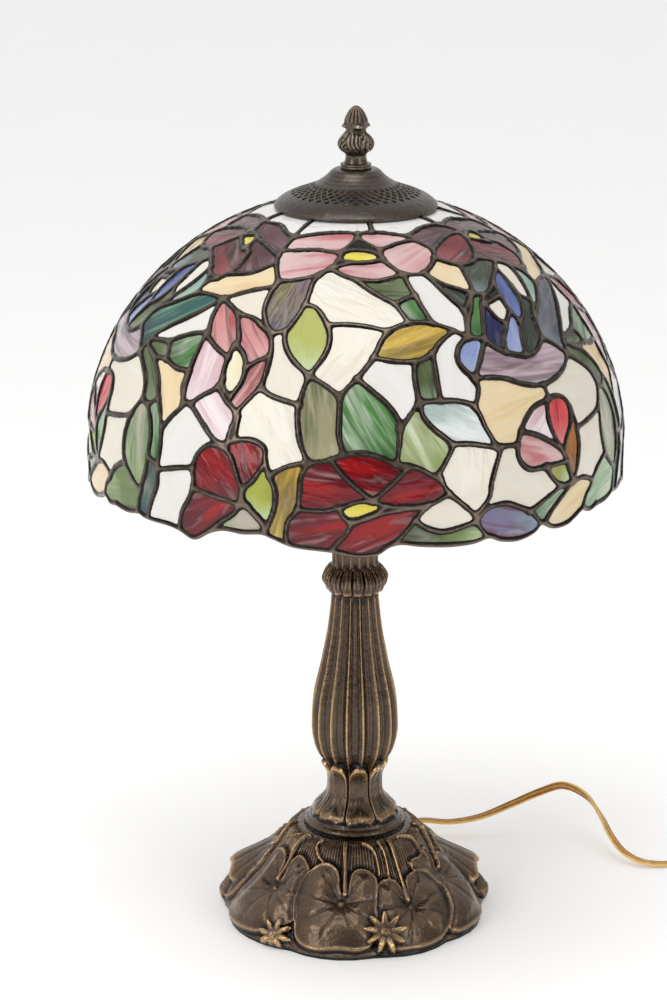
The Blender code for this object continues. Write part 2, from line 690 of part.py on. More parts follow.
def make_switch():
    """In-line cord switch: two housing halves, a screw through them and a thumb wheel at one side."""
    outline = rounded_rectangle(SWITCH_LENGTH, SWITCH_WIDTH, 9 * MM, 3)
    wheel_centre = SWITCH_CENTRE + Vector((0, -4.5 * MM, SWITCH_SPLIT_Z))
    screw_centre = SWITCH_CENTRE + Vector((17 * MM, 6.5 * MM, 0))
    halves = (("switch_base", 0.2 * MM), ("switch_cover", 8.15 * MM))
    pocket = cylinder("wheel_pocket", 10.6 * MM, 5.4 * MM, wheel_centre, collection=cutters, steps=20)
    as_cutter(pocket)
    axle = as_cutter(cylinder("axle_hole", 1.9 * MM, 10 * MM, wheel_centre, collection=cutters, steps=12))
    slots = []
    for side in (-1, 1):
        middle = SWITCH_CENTRE + Vector((side * (SWITCH_LENGTH / 2 - 4 * MM), 0, SWITCH_SPLIT_Z))
        slots.append(as_cutter(box(f"cord_slot_{side}", (18 * MM, 5.9 * MM, 3.3 * MM), middle, cutters)))
    shank = as_cutter(cylinder("screw_hole", 1.6 * MM, 40 * MM, screw_centre, collection=cutters, steps=12))
    for name, low in halves:
        half = flat_plate(name, [outline], SWITCH_HALF_THICKNESS, low + SWITCH_HALF_THICKNESS / 2)
        half.data.transform(Matrix.Translation(SWITCH_CENTRE))
        for cutter in (pocket, axle, *slots, shank):
            boolean(half, cutter)
        finish(half, SWITCH_BROWN, smooth=False)
    wheel = [(1.5, 4.4), (1.5, 2.4), (10.0, 2.4), (10.0, -2.4), (1.5, -2.4), (1.5, -4.4)]
    turned("switch_wheel", [(0, 4.4), *wheel, (0, -4.4)], BRASS, 20, wheel_centre)
    screw = [(0, 17.5), (2.6, 17.5), (2.6, 16.05), (1.3, 16.05), (1.3, 2), (0, 2)]
    turned("switch_screw", screw, STEEL, 12, screw_centre)


def make_plug():
    """A polarised plug: a wedge of a body with the cord's entry and two blades, the neutral one wider."""
    front = COIL_CENTRE + Vector((-1.5 * MM, 0, 0))
    body = [(0, -4.5), (22, -9), (26, -9), (26, 9), (22, 9), (0, 4.5)]
    plug = flat_plate("plug_body", [[(x * MM, y * MM) for x, y in body]], PLUG_THICKNESS, PLUG_MIDDLE_Z)
    plug.data.transform(Matrix.Translation(front))
    entry = box("plug_entry", (6 * MM, 6.4 * MM, 3.6 * MM), front + Vector((0, 0, 6 * MM)), cutters)
    boolean(plug, as_cutter(entry))
    for name, side in (("plug_blade_neutral", -1), ("plug_blade_live", 1)):
        width = 7.9 * MM if side < 0 else 6.35 * MM
        place = front + Vector((32 * MM, side * 6.35 * MM, PLUG_MIDDLE_Z))
        length, thickness = 18 * MM, 1.5 * MM
        blade = box(name, (length, thickness, width), place)
        room = 2 * FIT_GAP
        slot = box(name + "_slot", (length + room, thickness + room, width + room), place, cutters)
        boolean(plug, as_cutter(slot))
        finish(blade, BRASS, smooth=False)
    finish(plug, SWITCH_BROWN, smooth=False)


clear_scene()
make_foot()
make_column()
make_foot_fittings()
make_socket()
make_harp()
make_shade()
make_crown()
make_finial()
make_cord()
make_switch()
make_plug()
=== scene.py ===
"""Looks of the stained glass table lamp: leaded shade, cap, finial, column, foot, bulb and cord.

Shapes are in millimetres, in the CAD model's frame. An azimuth is in degrees round from the front (-Y).
"""

import json
import math

import bpy
import numpy as np
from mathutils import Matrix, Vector


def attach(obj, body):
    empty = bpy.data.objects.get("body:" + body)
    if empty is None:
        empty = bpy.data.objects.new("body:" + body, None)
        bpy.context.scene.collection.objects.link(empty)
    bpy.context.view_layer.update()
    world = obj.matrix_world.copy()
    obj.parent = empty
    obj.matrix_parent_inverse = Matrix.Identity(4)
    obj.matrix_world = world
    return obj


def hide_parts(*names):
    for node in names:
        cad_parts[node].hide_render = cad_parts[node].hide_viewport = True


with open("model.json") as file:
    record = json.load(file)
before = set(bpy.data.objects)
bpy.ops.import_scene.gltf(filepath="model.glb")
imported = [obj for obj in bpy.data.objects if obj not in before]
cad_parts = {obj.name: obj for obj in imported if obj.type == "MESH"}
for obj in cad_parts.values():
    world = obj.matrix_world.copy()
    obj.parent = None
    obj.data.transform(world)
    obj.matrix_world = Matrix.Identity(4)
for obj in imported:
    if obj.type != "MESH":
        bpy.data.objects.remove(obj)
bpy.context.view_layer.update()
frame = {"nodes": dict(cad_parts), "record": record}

MM = 0.001
RAD = math.pi / 180
RNG = np.random.default_rng(11)

# ---------------------------------------------------------------- mesh tools

def mesh_piece(name, material, points, quads, caps=(), attributes=None):
    """A smooth-shaded mesh object from points, an array of quads and a few n-gon caps."""
    quads = np.asarray(quads, np.int32).reshape(-1, 4)
    loops = np.concatenate([quads.ravel()] + [np.asarray(cap, np.int32) for cap in caps])
    sizes = np.concatenate([np.full(len(quads), 4)] + [[len(cap)] for cap in caps]).astype(np.int32)
    starts = np.concatenate([[0], np.cumsum(sizes)[:-1]]).astype(np.int32)
    mesh = bpy.data.meshes.new(name)
    mesh.vertices.add(len(points))
    mesh.vertices.foreach_set("co", (np.asarray(points, float) * MM).astype(np.float32).ravel())
    mesh.loops.add(len(loops))
    mesh.loops.foreach_set("vertex_index", loops)
    mesh.polygons.add(len(sizes))
    mesh.polygons.foreach_set("loop_start", starts)
    mesh.update(calc_edges=True)
    mesh.polygons.foreach_set("use_smooth", np.ones(len(sizes), bool))
    for key, values in (attributes or {}).items():
        values = np.asarray(values, np.float32)
        kind = "FLOAT" if values.ndim == 1 else "FLOAT_VECTOR"
        layer = mesh.attributes.new(key, kind, "POINT")
        layer.data.foreach_set("value" if values.ndim == 1 else "vector", values.ravel())
    mesh.materials.append(material)
    piece = bpy.data.objects.new(name, mesh)
    bpy.context.scene.collection.objects.link(piece)
    return piece

def place(piece, body, material_slot, *nodes):
    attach(piece, body)
    if nodes:
        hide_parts(*nodes)
    return piece

def round_axis(radius, degrees, z):
    """Points at a radius and an azimuth round the lamp's axis."""
    return np.stack([radius * np.sin(degrees * RAD), -radius * np.cos(degrees * RAD), z], axis=-1)

def join_parts(parts):
    """Makes one (points, quads, caps, attributes) of several."""
    starts = np.cumsum([0] + [len(part[0]) for part in parts])
    points = np.concatenate([part[0] for part in parts])
    quads = np.concatenate([part[1] + start for part, start in zip(parts, starts)])
    caps = [[index + start for index in cap] for part, start in zip(parts, starts) for cap in part[2]]
    attributes = {key: np.concatenate([part[3][key] for part in parts]) for key in parts[0][3]}
    return points, quads, caps, attributes

def grid_solid(columns, rows, outer, inner, full_turn=None):
    """Closed solid over grid cells, with its corners' columns and rows.

    outer and inner make points from arrays of corner columns and rows. With full_turn columns, the last one
    joins the first.
    """
    height = rows.max() + 2
    left = 0 if full_turn else columns.min()

    def key(column_step, row_step):
        column = columns - left + column_step
        return (column % full_turn if full_turn else column) * height + rows + row_step

    corners = np.stack([key(0, 0), key(0, 1), key(1, 1), key(1, 0)], axis=1)
    unique, index = np.unique(corners, return_inverse=True)
    index = index.reshape(-1, 4)
    count = len(unique)
    i, j = unique // height + left, unique % height
    points = np.concatenate([outer(i, j), inner(i, j)])
    quads = [index, index[:, ::-1] + count]
    for near, a, b in ((key(-1, 0), 0, 1), (key(0, 1), 1, 2), (key(1, 0), 2, 3), (key(0, -1), 3, 0)):
        bare = ~np.isin(near, key(0, 0))
        p, q = index[bare, a], index[bare, b]
        quads.append(np.stack([q, p, p + count, q + count], axis=1))
    return points, np.concatenate(quads), i, j

def smooth_noise(a, b, seed, scale=1.0):
    """Cheap smooth wobble in -1..1 made of a few turned sine waves."""
    rng = np.random.default_rng(seed)
    total = np.zeros(np.broadcast(a, b).shape)
    for _ in range(5):
        turn, phase = rng.uniform(0, math.tau, 2)
        pitch = rng.uniform(0.6, 1.6) / scale
        total = total + np.sin(pitch * (a * math.cos(turn) + b * math.sin(turn)) + phase)
    return total / 5

def catmull(points, steps, closed=False):
    """A smooth line through the points; a closed one runs back to its start."""
    knots = [np.array(p, float) for p in points]
    if closed:
        knots = [knots[-1]] + knots + knots[:2]
    else:
        knots = [2 * knots[0] - knots[1]] + knots + [2 * knots[-1] - knots[-2]]
    t = np.linspace(0, 1, steps, endpoint=False)[:, None]
    spans = [0.5 * (2 * b + (c - a) * t + (2 * a - 5 * b + 4 * c - d) * t ** 2
                    + (3 * b - a - 3 * c + d) * t ** 3)
             for a, b, c, d in zip(knots, knots[1:], knots[2:], knots[3:])]
    return np.concatenate(spans if closed else spans + [knots[-2][None]])

def segment_gap(px, py, qx, qy):
    """Distance of (px, py) from the segment between the origin and (qx, qy)."""
    t = np.clip((px * qx + py * qy) / (qx * qx + qy * qy + 1e-9), 0, 1)
    return np.hypot(px - t * qx, py - t * qy)

def smoothstep(low, high, value):
    t = np.clip((value - low) / (high - low), 0, 1)
    return t * t * (3 - 2 * t)

def ridge(distance, width):
    return np.exp(-(distance / width) ** 2)

def dome(distance, radius):
    """Height of a half ball of radius 1 at a distance from its middle."""
    return np.sqrt(np.clip(1 - (distance / radius) ** 2, 0, 1))

def wrap(degrees):
    return (degrees + 180) % 360 - 180

# ---------------------------------------------------------------- node tools

def paint(red, green, blue):
    """Screen colour 0-255 as a linear RGBA value."""
    values = [channel / 255 for channel in (red, green, blue)]
    return tuple(v / 12.92 if v < 0.04045 else ((v + 0.055) / 1.055) ** 2.4 for v in values) + (1.0,)

class Shader:
    """A short way to wire a node material."""

    def __init__(self, name):
        self.material = bpy.data.materials.new(name)
        self.material.use_nodes = True
        self.tree = self.material.node_tree
        self.bsdf = self.tree.nodes["Principled BSDF"]

    def node(self, kind, links=(), **settings):
        made = self.tree.nodes.new(kind)
        inputs = settings.pop("inputs", {})
        for key, value in settings.items():
            setattr(made, key, value)
        for key, value in inputs.items():
            made.inputs[key].default_value = value
        for key, source in links:
            self.tree.links.new(source, made.inputs[key])
        return made

    def attribute(self, name, vector=False):
        made = self.node("ShaderNodeAttribute", attribute_name=name)
        return made.outputs["Vector" if vector else "Fac"]

    def place(self):
        return self.node("ShaderNodeNewGeometry").outputs["Position"]

    def stretch(self, vector, x, y, z):
        return self.node("ShaderNodeVectorMath", [(0, vector)], operation="MULTIPLY",
                         inputs={1: (x, y, z)}).outputs[0]

    def noise(self, vector, scale, detail=3.0, rough=0.5, distortion=0.0):
        return self.node("ShaderNodeTexNoise", [("Vector", vector)],
                         inputs={"Scale": scale, "Detail": detail, "Roughness": rough,
                                 "Distortion": distortion}).outputs["Fac"]

    def ramp(self, value, *stops):
        made = self.node("ShaderNodeValToRGB", [("Fac", value)])
        while len(made.color_ramp.elements) < len(stops):
            made.color_ramp.elements.new(0.5)
        for element, (position, colour) in zip(made.color_ramp.elements, stops):
            element.position = position
            element.color = colour if isinstance(colour, tuple) else (colour, colour, colour, 1)
        return made.outputs["Color"]

    def mix(self, factor, first, second, blend="MIX"):
        made = self.node("ShaderNodeMix", data_type="RGBA", blend_type=blend)
        for key, value in ((0, factor), (6, first), (7, second)):
            if isinstance(value, (int, float, tuple)):
                made.inputs[key].default_value = value
            else:
                self.tree.links.new(value, made.inputs[key])
        return made.outputs[2]

    def maths(self, operation, first, second=0.0):
        made = self.node("ShaderNodeMath", operation=operation)
        for key, value in ((0, first), (1, second)):
            if isinstance(value, (int, float)):
                made.inputs[key].default_value = value
            else:
                self.tree.links.new(value, made.inputs[key])
        return made.outputs[0]

    def wobble(self, value, noise, amount):
        """The value with noise added, centred on nought."""
        return self.maths("ADD", value, self.maths("MULTIPLY", self.maths("SUBTRACT", noise, 0.5), amount))

    def bump(self, height, strength, distance):
        made = self.node("ShaderNodeBump", [("Height", height)],
                         inputs={"Strength": strength, "Distance": distance})
        self.tree.links.new(made.outputs[0], self.bsdf.inputs["Normal"])

    def feed(self, **values):
        for key, value in values.items():
            key = key.replace("_", " ")
            if isinstance(value, (int, float, tuple)):
                self.bsdf.inputs[key].default_value = value
            else:
                self.tree.links.new(value, self.bsdf.inputs[key])
        return self.material

def bronze_material(name, hollow, face, crest, shine):
    """Patinated cast metal: dark patina in hollows, brown faces and ridges rubbed to bright metal; the broad
    crests and dishes of the relief also carry a painted highlight and painted shade.
    """
    s = Shader(name)
    grain = s.noise(s.place(), 420, 5, 0.6)
    blotch = s.noise(s.place(), 55, 3, 0.6)
    relief = s.wobble(s.attribute("relief"), blotch, 0.35)
    # Hollows get the darkest tone and crests the lightest: patina and rubbed metal, and on the broad relief
    # also painted shade and painted highlight
    tone = s.ramp(relief, (0.0, hollow), (0.42, face), (0.98, crest))
    worn = s.ramp(relief, (0.62, 0.0), (0.95, 1.0))
    tone = s.mix(s.ramp(grain, (0.35, 0.0), (0.75, 0.35)), tone, hollow)
    hammered = s.noise(s.place(), 260, 2, 0.5)
    s.bump(s.maths("ADD", hammered, s.maths("MULTIPLY", grain, 0.3)), 0.65, 0.0009)
    rough = s.ramp(s.maths("ADD", s.maths("MULTIPLY", grain, 0.5), s.maths("MULTIPLY", worn, -0.3)),
                   (0.0, shine), (0.6, shine + 0.25))
    return s.feed(Base_Color=tone, Metallic=0.85, Roughness=rough, Coat_Weight=0.45,
                  Coat_Roughness=0.22)

def plain_metal(name, colour, dark, rough, scale=300):
    """Bare metal with a fine cloudy tarnish."""
    s = Shader(name)
    grain = s.noise(s.place(), scale, 4, 0.6)
    s.bump(grain, 0.12, 0.0002)
    return s.feed(Base_Color=s.mix(grain, colour, dark), Metallic=1.0,
                  Roughness=s.ramp(grain, (0.2, rough), (0.8, rough + 0.18)))

def matte_stuff(name, colour, other, rough, scale, bump_size):
    """A matte or moulded stuff with a grain in its colour and surface."""
    s = Shader(name)
    grain = s.noise(s.place(), scale, 5, 0.65)
    s.bump(grain, 0.35, bump_size)
    return s.feed(Base_Color=s.mix(grain, colour, other), Roughness=rough)

# ---------------------------------------------------------------- glass looks

# kind: (material slot, main colour, streak colour, its amount, colour that the pane fades to, its amount)
GLASS_KINDS = {
    "cream": ("glass_cream", (227, 221, 207), (219, 205, 180), 0.28, (234, 228, 217), 0.3),
    "white": ("glass_cream", (228, 226, 222), (217, 211, 204), 0.25, (234, 232, 229), 0.3),
    "ivory": ("glass_cream", (238, 233, 212), (222, 212, 160), 0.6, (240, 238, 226), 0.3),
    "frost": ("glass_cream", (214, 220, 218), (104, 140, 126), 0.6, (226, 230, 229), 0.4),
    "honey": ("glass_amber", (228, 208, 168), (218, 180, 118), 0.55, (236, 222, 194), 0.5),
    "lemon": ("glass_amber", (226, 210, 78), (186, 156, 44), 0.7, (236, 224, 140), 0.6),
    "amber": ("glass_amber", (200, 166, 70), (104, 84, 34), 0.75, (192, 176, 92), 0.5),
    "rust": ("glass_amber", (166, 100, 26), (96, 62, 26), 0.7, (130, 70, 24), 0.5),
    "tan": ("glass_amber", (176, 128, 56), (140, 100, 50), 0.7, (150, 120, 60), 0.5),
    "pink": ("glass_rose", (208, 174, 172), (182, 74, 82), 0.8, (222, 196, 194), 0.6),
    "rose": ("glass_rose", (202, 140, 138), (168, 66, 72), 0.8, (214, 170, 168), 0.6),
    "blush": ("glass_rose", (236, 224, 226), (186, 118, 128), 0.55, (240, 232, 233), 0.5),
    "coral": ("glass_rose", (214, 84, 88), (160, 28, 38), 0.7, (226, 152, 152), 0.6),
    "ruby": ("glass_rose", (144, 12, 18), (84, 12, 34), 0.8, (70, 8, 26), 0.6),
    "maroon": ("glass_rose", (112, 28, 34), (52, 10, 16), 0.9, (166, 96, 98), 0.5),
    "plum": ("glass_mauve", (76, 46, 52), (84, 10, 18), 0.85, (126, 92, 102), 0.6),
    "heather": ("glass_mauve", (98, 76, 78), (104, 98, 44), 0.85, (88, 76, 98), 0.7),
    "lilac": ("glass_mauve", (190, 170, 176), (112, 78, 98), 0.8, (190, 172, 180), 0.6),
    "iris": ("glass_mauve", (116, 112, 142), (104, 50, 76), 0.85, (130, 160, 172), 0.6),
    "moss": ("glass_green", (90, 102, 66), (38, 56, 30), 0.8, (140, 156, 126), 0.6),
    "green": ("glass_green", (74, 122, 62), (196, 208, 188), 0.75, (36, 78, 38), 0.75),
    "lime": ("glass_green", (158, 164, 60), (116, 130, 36), 0.7, (184, 204, 156), 0.8),
    "celery": ("glass_green", (148, 158, 112), (210, 218, 186), 0.7, (122, 142, 74), 0.6),
    "fern": ("glass_green", (148, 142, 112), (84, 94, 60), 0.8, (166, 160, 126), 0.6),
    "sage": ("glass_green", (178, 170, 154), (74, 122, 58), 0.9, (112, 146, 74), 0.7),
    "sea": ("glass_green", (38, 68, 64), (92, 122, 100), 0.7, (34, 62, 104), 0.8),
    "olive": ("glass_green", (94, 114, 56), (36, 54, 20), 0.9, (168, 184, 134), 0.75),
    "mint": ("glass_green", (140, 170, 132), (206, 218, 192), 0.7, (106, 146, 102), 0.6),
    "slate": ("glass_green", (62, 72, 52), (34, 44, 30), 0.8, (140, 158, 166), 0.7),
    "night": ("glass_green", (18, 26, 22), (54, 66, 52), 0.7, (14, 20, 20), 0.5),
    "teal": ("glass_blue", (32, 86, 80), (110, 156, 126), 0.85, (10, 22, 40), 0.9),
    "wing": ("glass_blue", (100, 102, 110), (58, 60, 72), 0.85, (128, 132, 138), 0.7),
    "navy": ("glass_blue", (14, 18, 66), (40, 48, 112), 0.7, (12, 14, 44), 0.5),
    "sky": ("glass_blue", (156, 168, 194), (108, 126, 188), 0.6, (164, 180, 208), 0.5),
    "haze": ("glass_blue", (128, 142, 156), (104, 118, 132), 0.6, (146, 156, 166), 0.5),
    "blue": ("glass_blue", (84, 102, 156), (54, 66, 132), 0.65, (118, 132, 186), 0.6),
    "aqua": ("glass_blue", (152, 178, 164), (108, 142, 128), 0.6, (180, 198, 188), 0.5),
}
# Some panes are cut from a different sheet in the other two repeats: (kind, repeat) -> kind
COPY_GLASS = {
    ("teal", 1): "wing", ("aqua", 2): "sky", ("rust", 2): "mint", ("olive", 1): "mint",
    ("heather", 2): "fern", ("amber", 2): "tan", ("night", 2): "moss", ("lilac", 1): "haze",
}
FINE_STREAKED = ("glass_green", "glass_amber")
DEEP_STREAKED = ("ruby", "maroon", "plum", "green", "moss", "olive", "sea", "teal", "rose", "lilac", "amber")
DEEP_SHARE = 0.55
PALE = (232, 226, 220)

def glass_look(kind):
    """Streaky opalescent glass: long soft streaks, a thin set, a fade along the pane and a wavy gloss."""
    slot, main, streak, amount, fade, reach = GLASS_KINDS[kind]
    s = Shader(f"glass_{kind}")
    flow = s.attribute("streak", vector=True)

    def streaks(along, across, detail=2, rough=0.5, distortion=0.0):
        return s.noise(s.stretch(flow, along, across, 1.0), 1.0, detail, rough, distortion)

    wide = streaks(0.018, 0.10, distortion=0.9)
    thin = streaks(0.025, 0.34, 3, 0.55, 1.0)
    cloud = streaks(0.05, 0.05)
    fine = 0.3 if slot in FINE_STREAKED else 0.12
    share = s.maths("ADD", s.maths("MULTIPLY", wide, 1 - fine), s.maths("MULTIPLY", thin, fine))
    share = s.wobble(share, s.attribute("tone"), 0.12)
    streaked = s.ramp(share, (0.43, 0.0), (0.59, amount))
    colour = s.mix(streaked, paint(*main), paint(*streak))
    ends = s.wobble(s.attribute("along"), cloud, 1.6)
    colour = s.mix(s.ramp(ends, (0.05, 0.0), (0.95, reach)), colour, paint(*fade))
    if kind in DEEP_STREAKED:
        deep = paint(*(DEEP_SHARE * channel for channel in main))
        depth = streaks(0.016, 0.19, distortion=0.8)
        colour = s.mix(s.ramp(depth, (0.46, 0.0), (0.66, 0.75)), colour, deep)
    pale = s.ramp(streaks(0.03, 0.13, distortion=1.4), (0.55, 0.0), (0.8, 0.2))
    colour = s.mix(pale, colour, paint(*PALE))
    s.bump(streaks(0.06, 0.16), 0.6, 0.0016)
    rough = s.ramp(cloud, (0.3, 0.07), (0.7, 0.16))
    return s.feed(Base_Color=colour, Roughness=rough, IOR=1.5, Specular_IOR_Level=0.36, Coat_Weight=0.12,
                  Coat_Roughness=0.03), slot

GLASS_LOOKS = {kind: glass_look(kind) for kind in GLASS_KINDS}
SLOT_OF_NODE = {part["node"]: part["material_slot"] for part in frame["record"]["subparts"]}

def solder_look_with_painted_highlight():
    """Dark patina over tinned copper foil, satin: near black towards each bead's edges, with a painted
    highlight in brown-grey along its crest.
    """
    s = Shader("solder")
    grain = s.noise(s.place(), 260, 4, 0.6)
    # Painted highlight: the bead's crest is drawn lighter than its dark patina
    crest = s.wobble(s.attribute("relief"), grain, 0.5)
    tone = s.ramp(crest, (0.0, paint(20, 17, 15)), (0.62, paint(42, 36, 30)), (1.0, paint(112, 98, 86)))
    s.bump(grain, 0.3, 0.0006)
    return s.feed(Base_Color=tone, Metallic=0.7, Roughness=s.ramp(grain, (0.3, 0.14), (0.7, 0.3)))

SOLDER_WITH_PAINTED_HIGHLIGHT = solder_look_with_painted_highlight()
# name, hollow, face, crest, shine
BRONZE = bronze_material("antique_bronze", paint(20, 14, 10), paint(108, 86, 66), paint(206, 168, 118), 0.16)
AGED_BRASS = bronze_material("aged_brass", paint(24, 18, 15), paint(76, 63, 52), paint(178, 160, 132), 0.2)
CAP_BRONZE = bronze_material("cap_bronze", paint(34, 30, 27), paint(70, 61, 53), paint(120, 102, 80), 0.3)
# name, colour, tarnish, roughness, size of the grain
BRASS = plain_metal("brass", paint(186, 150, 88), paint(140, 104, 56), 0.24)
STEEL = plain_metal("steel", paint(176, 176, 178), paint(140, 140, 142), 0.3)
COPPER = plain_metal("copper", paint(206, 130, 70), paint(150, 84, 40), 0.3, 900)
# name, colour, other colour, roughness, size of the grain, depth of the bump in metres
IRON = matte_stuff("cast_iron", paint(74, 74, 78), paint(46, 46, 50), 0.7, 500, 0.0006)
PHENOLIC = matte_stuff("phenolic", paint(34, 32, 32), paint(22, 20, 20), 0.35, 260, 0.0001)
FELT = matte_stuff("felt", paint(40, 58, 46), paint(24, 38, 30), 0.95, 1800, 0.0004)
FIBRE = matte_stuff("fibre", paint(150, 118, 80), paint(112, 84, 54), 0.85, 700, 0.0002)
SWITCH_PLASTIC = matte_stuff("switch_plastic", paint(96, 62, 32), paint(70, 44, 22), 0.28, 300, 0.0001)
PORCELAIN = matte_stuff("frosted_bulb", paint(238, 238, 232), paint(226, 226, 222), 0.3, 90, 0.0001)

def cord_jacket():
    """Gold vinyl: darker brown on the crown of each core, bright gold at its sides and in the groove between
    the two cores.
    """
    s = Shader("cord_jacket")
    haze = s.noise(s.place(), 300, 3)
    clear = s.wobble(s.attribute("relief"), haze, 0.6)
    tone = s.ramp(clear, (0.1, paint(120, 72, 22)), (0.5, paint(206, 146, 44)), (1.0, paint(246, 202, 110)))
    return s.feed(Base_Color=tone, Roughness=0.12, IOR=1.5, Coat_Weight=1.0, Coat_Roughness=0.04)

CORD_JACKET = cord_jacket()

# ---------------------------------------------------------------- the shade's pattern

# One third of the pattern, which repeats three times round the shade. Each point is (degrees round from the
# front, millimetres down the dome from the crown hole). A motif draws its seams and names its panes' glass.

def crown_band(seam, glass):
    seam((-67, 4), (-66.5, 10), (-65, 17))
    seam((-33, 4), (-33, 14), (-32.5, 23))
    seam((9, 4), (9, 10), (8.5, 16))
    glass("cream", (-10, 10), (30, 10))
    glass("white", (-50, 9))

def pink_flower(seam, glass):
    seam((-32.5, 23), (-32.5, 32), (-32.5, 40), (-31.5, 46), (-29, 53), (-26.5, 60))
    seam((-32.5, 24.5), (-29, 22.5), (-24, 19.5), (-17, 17), (-8, 15.8), (0.5, 17))
    seam((0.5, 17), (8.5, 15.5), (15, 16.5), (21, 19), (27, 22))
    seam((0.5, 17), (0.5, 22))
    seam((0.5, 22), (-3, 28), (-7, 35))
    seam((0.5, 22), (5, 27), (10, 33))
    seam((-32.5, 37), (-26, 35), (-18, 33.2), (-12, 34.3), (-7, 36))
    seam((-7, 35), (-3.5, 33), (0, 32.2), (5, 33.3), (8.5, 36), (10.2, 39.5))
    seam((-7, 35), (-6.8, 40), (-9.5, 48))
    seam((-7, 41.5), (-3, 42.6), (3, 42.8), (10.2, 41))
    seam((-9.5, 48), (-6, 45.5), (-3, 43))
    seam((-26.5, 60), (-20, 57.5), (-14, 53.5), (-9.5, 48))
    seam((-9.5, 48), (-5, 52.5), (1, 56), (8, 56.6), (16, 53))
    seam((10, 33), (10.2, 40), (12.5, 46), (16, 53))
    seam((10, 33), (15, 30), (20, 27.5), (25.5, 26.5), (29, 27))
    seam((34, 36), (32, 42), (28.5, 48), (24, 53), (20, 54), (16, 53))
    glass("pink", (-15, 26), (-18, 44), (12, 24), (20, 40), (3, 50))
    glass("lemon", (1, 38))
    glass("lead", (1, 29), (-5, 44))

def plum_flower(seam, glass):
    seam((27, 22), (30, 28.5), (34, 36))
    seam((27, 22), (33, 18.5), (40, 15.5), (48, 15), (55, 17))
    seam((34, 36), (38, 33), (43, 29.5), (50, 27), (58, 27.5))
    seam((55, 17), (58, 22), (60, 27))
    seam((58, 27.5), (57.5, 33), (54, 41), (50, 48.5))
    seam((31.5, 43), (35, 47), (40, 51), (46, 51), (50, 48.5))
    seam((-65, 17), (-60, 16.2), (-52, 15), (-46, 16.5), (-40, 20.5), (-32.5, 24.5))
    seam((-61, 27), (-55, 28.5), (-49, 32), (-42, 35), (-32.5, 41.5))
    seam((-62.5, 32), (-57, 29.5))
    seam((-51.5, 31), (-51, 36), (-51.5, 41))
    seam((-62.5, 33), (-58, 36.5), (-54, 40), (-51.5, 41))
    seam((-51.5, 41), (-47.5, 43), (-46, 50), (-46.2, 58), (-50, 65))
    seam((-51.5, 38), (-47.5, 43))
    seam((-70, 48.5), (-65, 52.5), (-60, 57), (-55, 63.5), (-50, 65))
    seam((-46.2, 60), (-41, 57.8), (-37, 55), (-32, 48))
    glass("plum", (42, 22), (-45, 26), (-40, 48))
    glass("maroon", (42, 42), (-56, 50))
    glass("lemon", (-55, 34))

def upper_left_panes(seam, glass):
    seam((-50, 65), (-53, 70), (-53.5, 77))
    seam((-53.5, 77), (-48, 76), (-42, 76.8))
    seam((-42, 76.8), (-37, 71), (-33, 67.5), (-27, 64))
    seam((-26.5, 60), (-27.3, 70), (-27, 79), (-25, 87), (-22.5, 93.5))
    seam((-42, 76.8), (-38, 80), (-34, 84), (-29, 85.5), (-25.5, 90), (-22.5, 93.5))
    seam((-13.2, 52.5), (-14.6, 60), (-14.8, 67), (-15.3, 74), (-17, 84), (-19, 91), (-22.5, 93.5))
    seam((-12.6, 51.5), (-13.2, 54))
    seam((-15.3, 74), (-12, 75.5), (-9.5, 81), (-7.5, 88), (-7, 96), (-8, 104), (-10, 112), (-11, 116))
    seam((-19, 91), (-18.3, 98), (-16, 106), (-12.5, 113), (-11, 116))
    seam((-7.8, 86), (-2, 85.5), (3, 87), (8, 90))
    seam((-22.5, 93.5), (-21.4, 103), (-21.3, 112), (-21.8, 124))
    seam((-22, 124.5), (-19, 128), (-15, 130.5), (-12.5, 131.5))
    glass("honey", (-42, 68))
    glass("cream", (-33, 76), (-5, 70), (-2, 100), (-19, 110), (-18, 142))
    glass("heather", (-21, 72))
    glass("lime", (-13, 92))

def upper_right_panes(seam, glass):
    seam((0, 56.3), (4, 63), (8, 69), (11, 73), (12.5, 79), (13.8, 85))
    seam((16.5, 53), (16.8, 60), (17.8, 68), (19, 77), (20.5, 87))
    seam((17.8, 68), (14, 70.5), (11, 73))
    seam((24, 53), (26, 61), (28.5, 71), (31, 81), (30.5, 88), (29, 97))
    seam((24.7, 55.5), (28, 61.5), (33, 67), (36.5, 71))
    seam((40, 51), (39, 60), (37.5, 70), (36.5, 71))
    seam((36.5, 71), (33.5, 77), (31, 82))
    seam((36.5, 71), (33.8, 80), (31, 88), (29, 97))
    seam((8, 90), (11, 87), (15, 85.3), (20, 86.5), (24.5, 91), (29, 97))
    seam((8, 90), (6, 96), (4, 105), (2, 111), (0, 117))
    seam((25.5, 92.5), (21, 98.5), (18.5, 104), (14.5, 108), (9, 107.5), (4, 105))
    seam((13.8, 108.3), (13.2, 115), (13.2, 122), (13.5, 130.5))
    seam((18.5, 104), (18.3, 118), (18.3, 130.5))
    glass("moss", (9, 63), (16, 120))
    glass("green", (15.5, 78), (34, 87))
    glass("white", (22, 72), (22, 115), (7, 120))
    glass("honey", (32, 57))
    glass("night", (31, 72))
    glass("amber", (14, 97))

